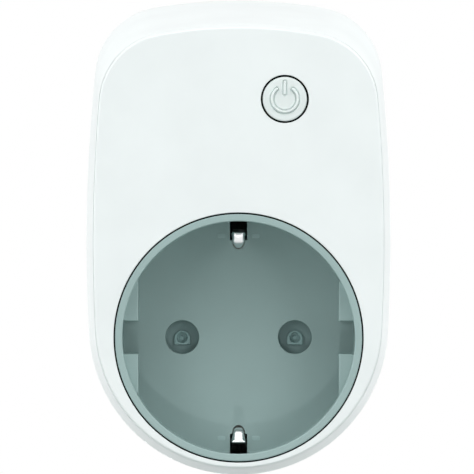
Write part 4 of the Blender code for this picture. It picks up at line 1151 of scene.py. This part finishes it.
def add_floor(scene, stage):
    """A floor that glows white to the eye and in reflections, and takes the plug's shadow."""
    low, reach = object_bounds()[0][2] - stage.floor_gap, 6.0
    glow_strength, glow_share = 1.085, 0.9
    mesh = bpy.data.meshes.new("floor")
    corners = [(-reach, -reach, low), (reach, -reach, low), (reach, reach, low), (-reach, reach, low)]
    mesh.from_pydata(corners, [], [(0, 1, 2, 3)])
    floor = bpy.data.objects.new("floor", mesh)
    scene.collection.objects.link(floor)
    paint = Paint("floor")
    clouds = paint.band(paint.noise(3.0), 0.3, 0.7)
    tone = paint.mix(clouds, shade(stage.floor, 0.97), shade(stage.floor, 1.03))
    paint.put(Base_Color=tone, Roughness=0.9)
    glow = paint.node("ShaderNodeEmission", {}, {"Color": WHITE, "Strength": glow_strength})
    matte = Value(paint, paint.shader.outputs[0])
    mixed = paint.node("ShaderNodeMixShader", {}, {0: paint.seen() * glow_share, 1: matte, 2: glow})
    paint.feed(paint.tree.nodes["Material Output"], {"Surface": mixed})
    mesh.materials.append(paint.material)
    floor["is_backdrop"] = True


class PLUG_OT_stage(bpy.types.Operator):
    """Set the camera, lamps, white surround and floor"""
    bl_idname = "smart_plug.stage"
    bl_label = "Stage"

    def execute(self, context):
        scene, stage = context.scene, context.scene.plug_stage
        camera = bpy.data.cameras.new("camera")
        camera.sensor_width = 36.0
        camera.lens = camera.sensor_width * stage.distance / stage.frame_width
        camera.clip_end = 100.0
        holder = bpy.data.objects.new("camera", camera)
        holder.location = (stage.aim_x, FACE_Y - stage.distance, stage.aim_z)
        holder.rotation_euler = (QUARTER, 0.0, 0.0)
        scene.collection.objects.link(holder)
        scene.camera = holder
        for name, place in MIDDLE_LAMPS.items():
            add_lamp(name, *place, getattr(stage, name))
        for side, way in (("left", -1), ("right", 1)):
            for name, (turn, rise, width) in SIDE_LAMPS.items():
                add_lamp(f"{name}_{side}", way * turn, rise, width, getattr(stage, name))
        add_surround(scene, stage)
        add_floor(scene, stage)
        scene.view_settings.view_transform = "Standard"
        return {"FINISHED"}


class PLUG_PT_dressing(bpy.types.Panel):
    """Lists the sizes and the steps that build the plug's visible surfaces"""
    bl_label = "Smart plug"
    bl_idname = "PLUG_PT_dressing"
    bl_space_type = "VIEW_3D"
    bl_region_type = "UI"
    bl_category = "Smart plug"

    def draw(self, context):
        """Show each group's properties in a box, then the operators."""
        for name, kind in GROUPS.items():
            box = self.layout.box()
            box.label(text=kind.__doc__)
            for key in kind.__annotations__:
                box.prop(getattr(context.scene, name), key)
        for step in STEPS:
            self.layout.operator(step.bl_idname)


STEPS = (PLUG_OT_front_cover, PLUG_OT_rear_housing, PLUG_OT_socket_insert, PLUG_OT_earth_clips,
         PLUG_OT_shutter, PLUG_OT_spring, PLUG_OT_button, PLUG_OT_gap_shades, PLUG_OT_pins,
         PLUG_OT_screws, PLUG_OT_inner_finishes, PLUG_OT_stage)
GROUPS = {"plug_body": PlugBody, "plug_socket": PlugSocket, "plug_button": PlugButton, "plug_end": PlugEnd,
          "plug_finish": PlugFinish, "plug_stage": PlugStage}
CLASSES = (*GROUPS.values(), *STEPS, PLUG_PT_dressing)


def register():
    """Add the classes, and a pointer to each group on the scene."""
    for kind in CLASSES:
        bpy.utils.register_class(kind)
    for name, kind in GROUPS.items():
        setattr(bpy.types.Scene, name, PointerProperty(type=kind))


def unregister():
    """Undo register, in the opposite order."""
    for name in GROUPS:
        delattr(bpy.types.Scene, name)
    for kind in reversed(CLASSES):
        bpy.utils.unregister_class(kind)


def main():
    """Run every step in order."""
    register()
    for step in STEPS:
        area, name = step.bl_idname.split(".")
        getattr(getattr(bpy.ops, area), name)()


if __name__ == "__main__":
    main()
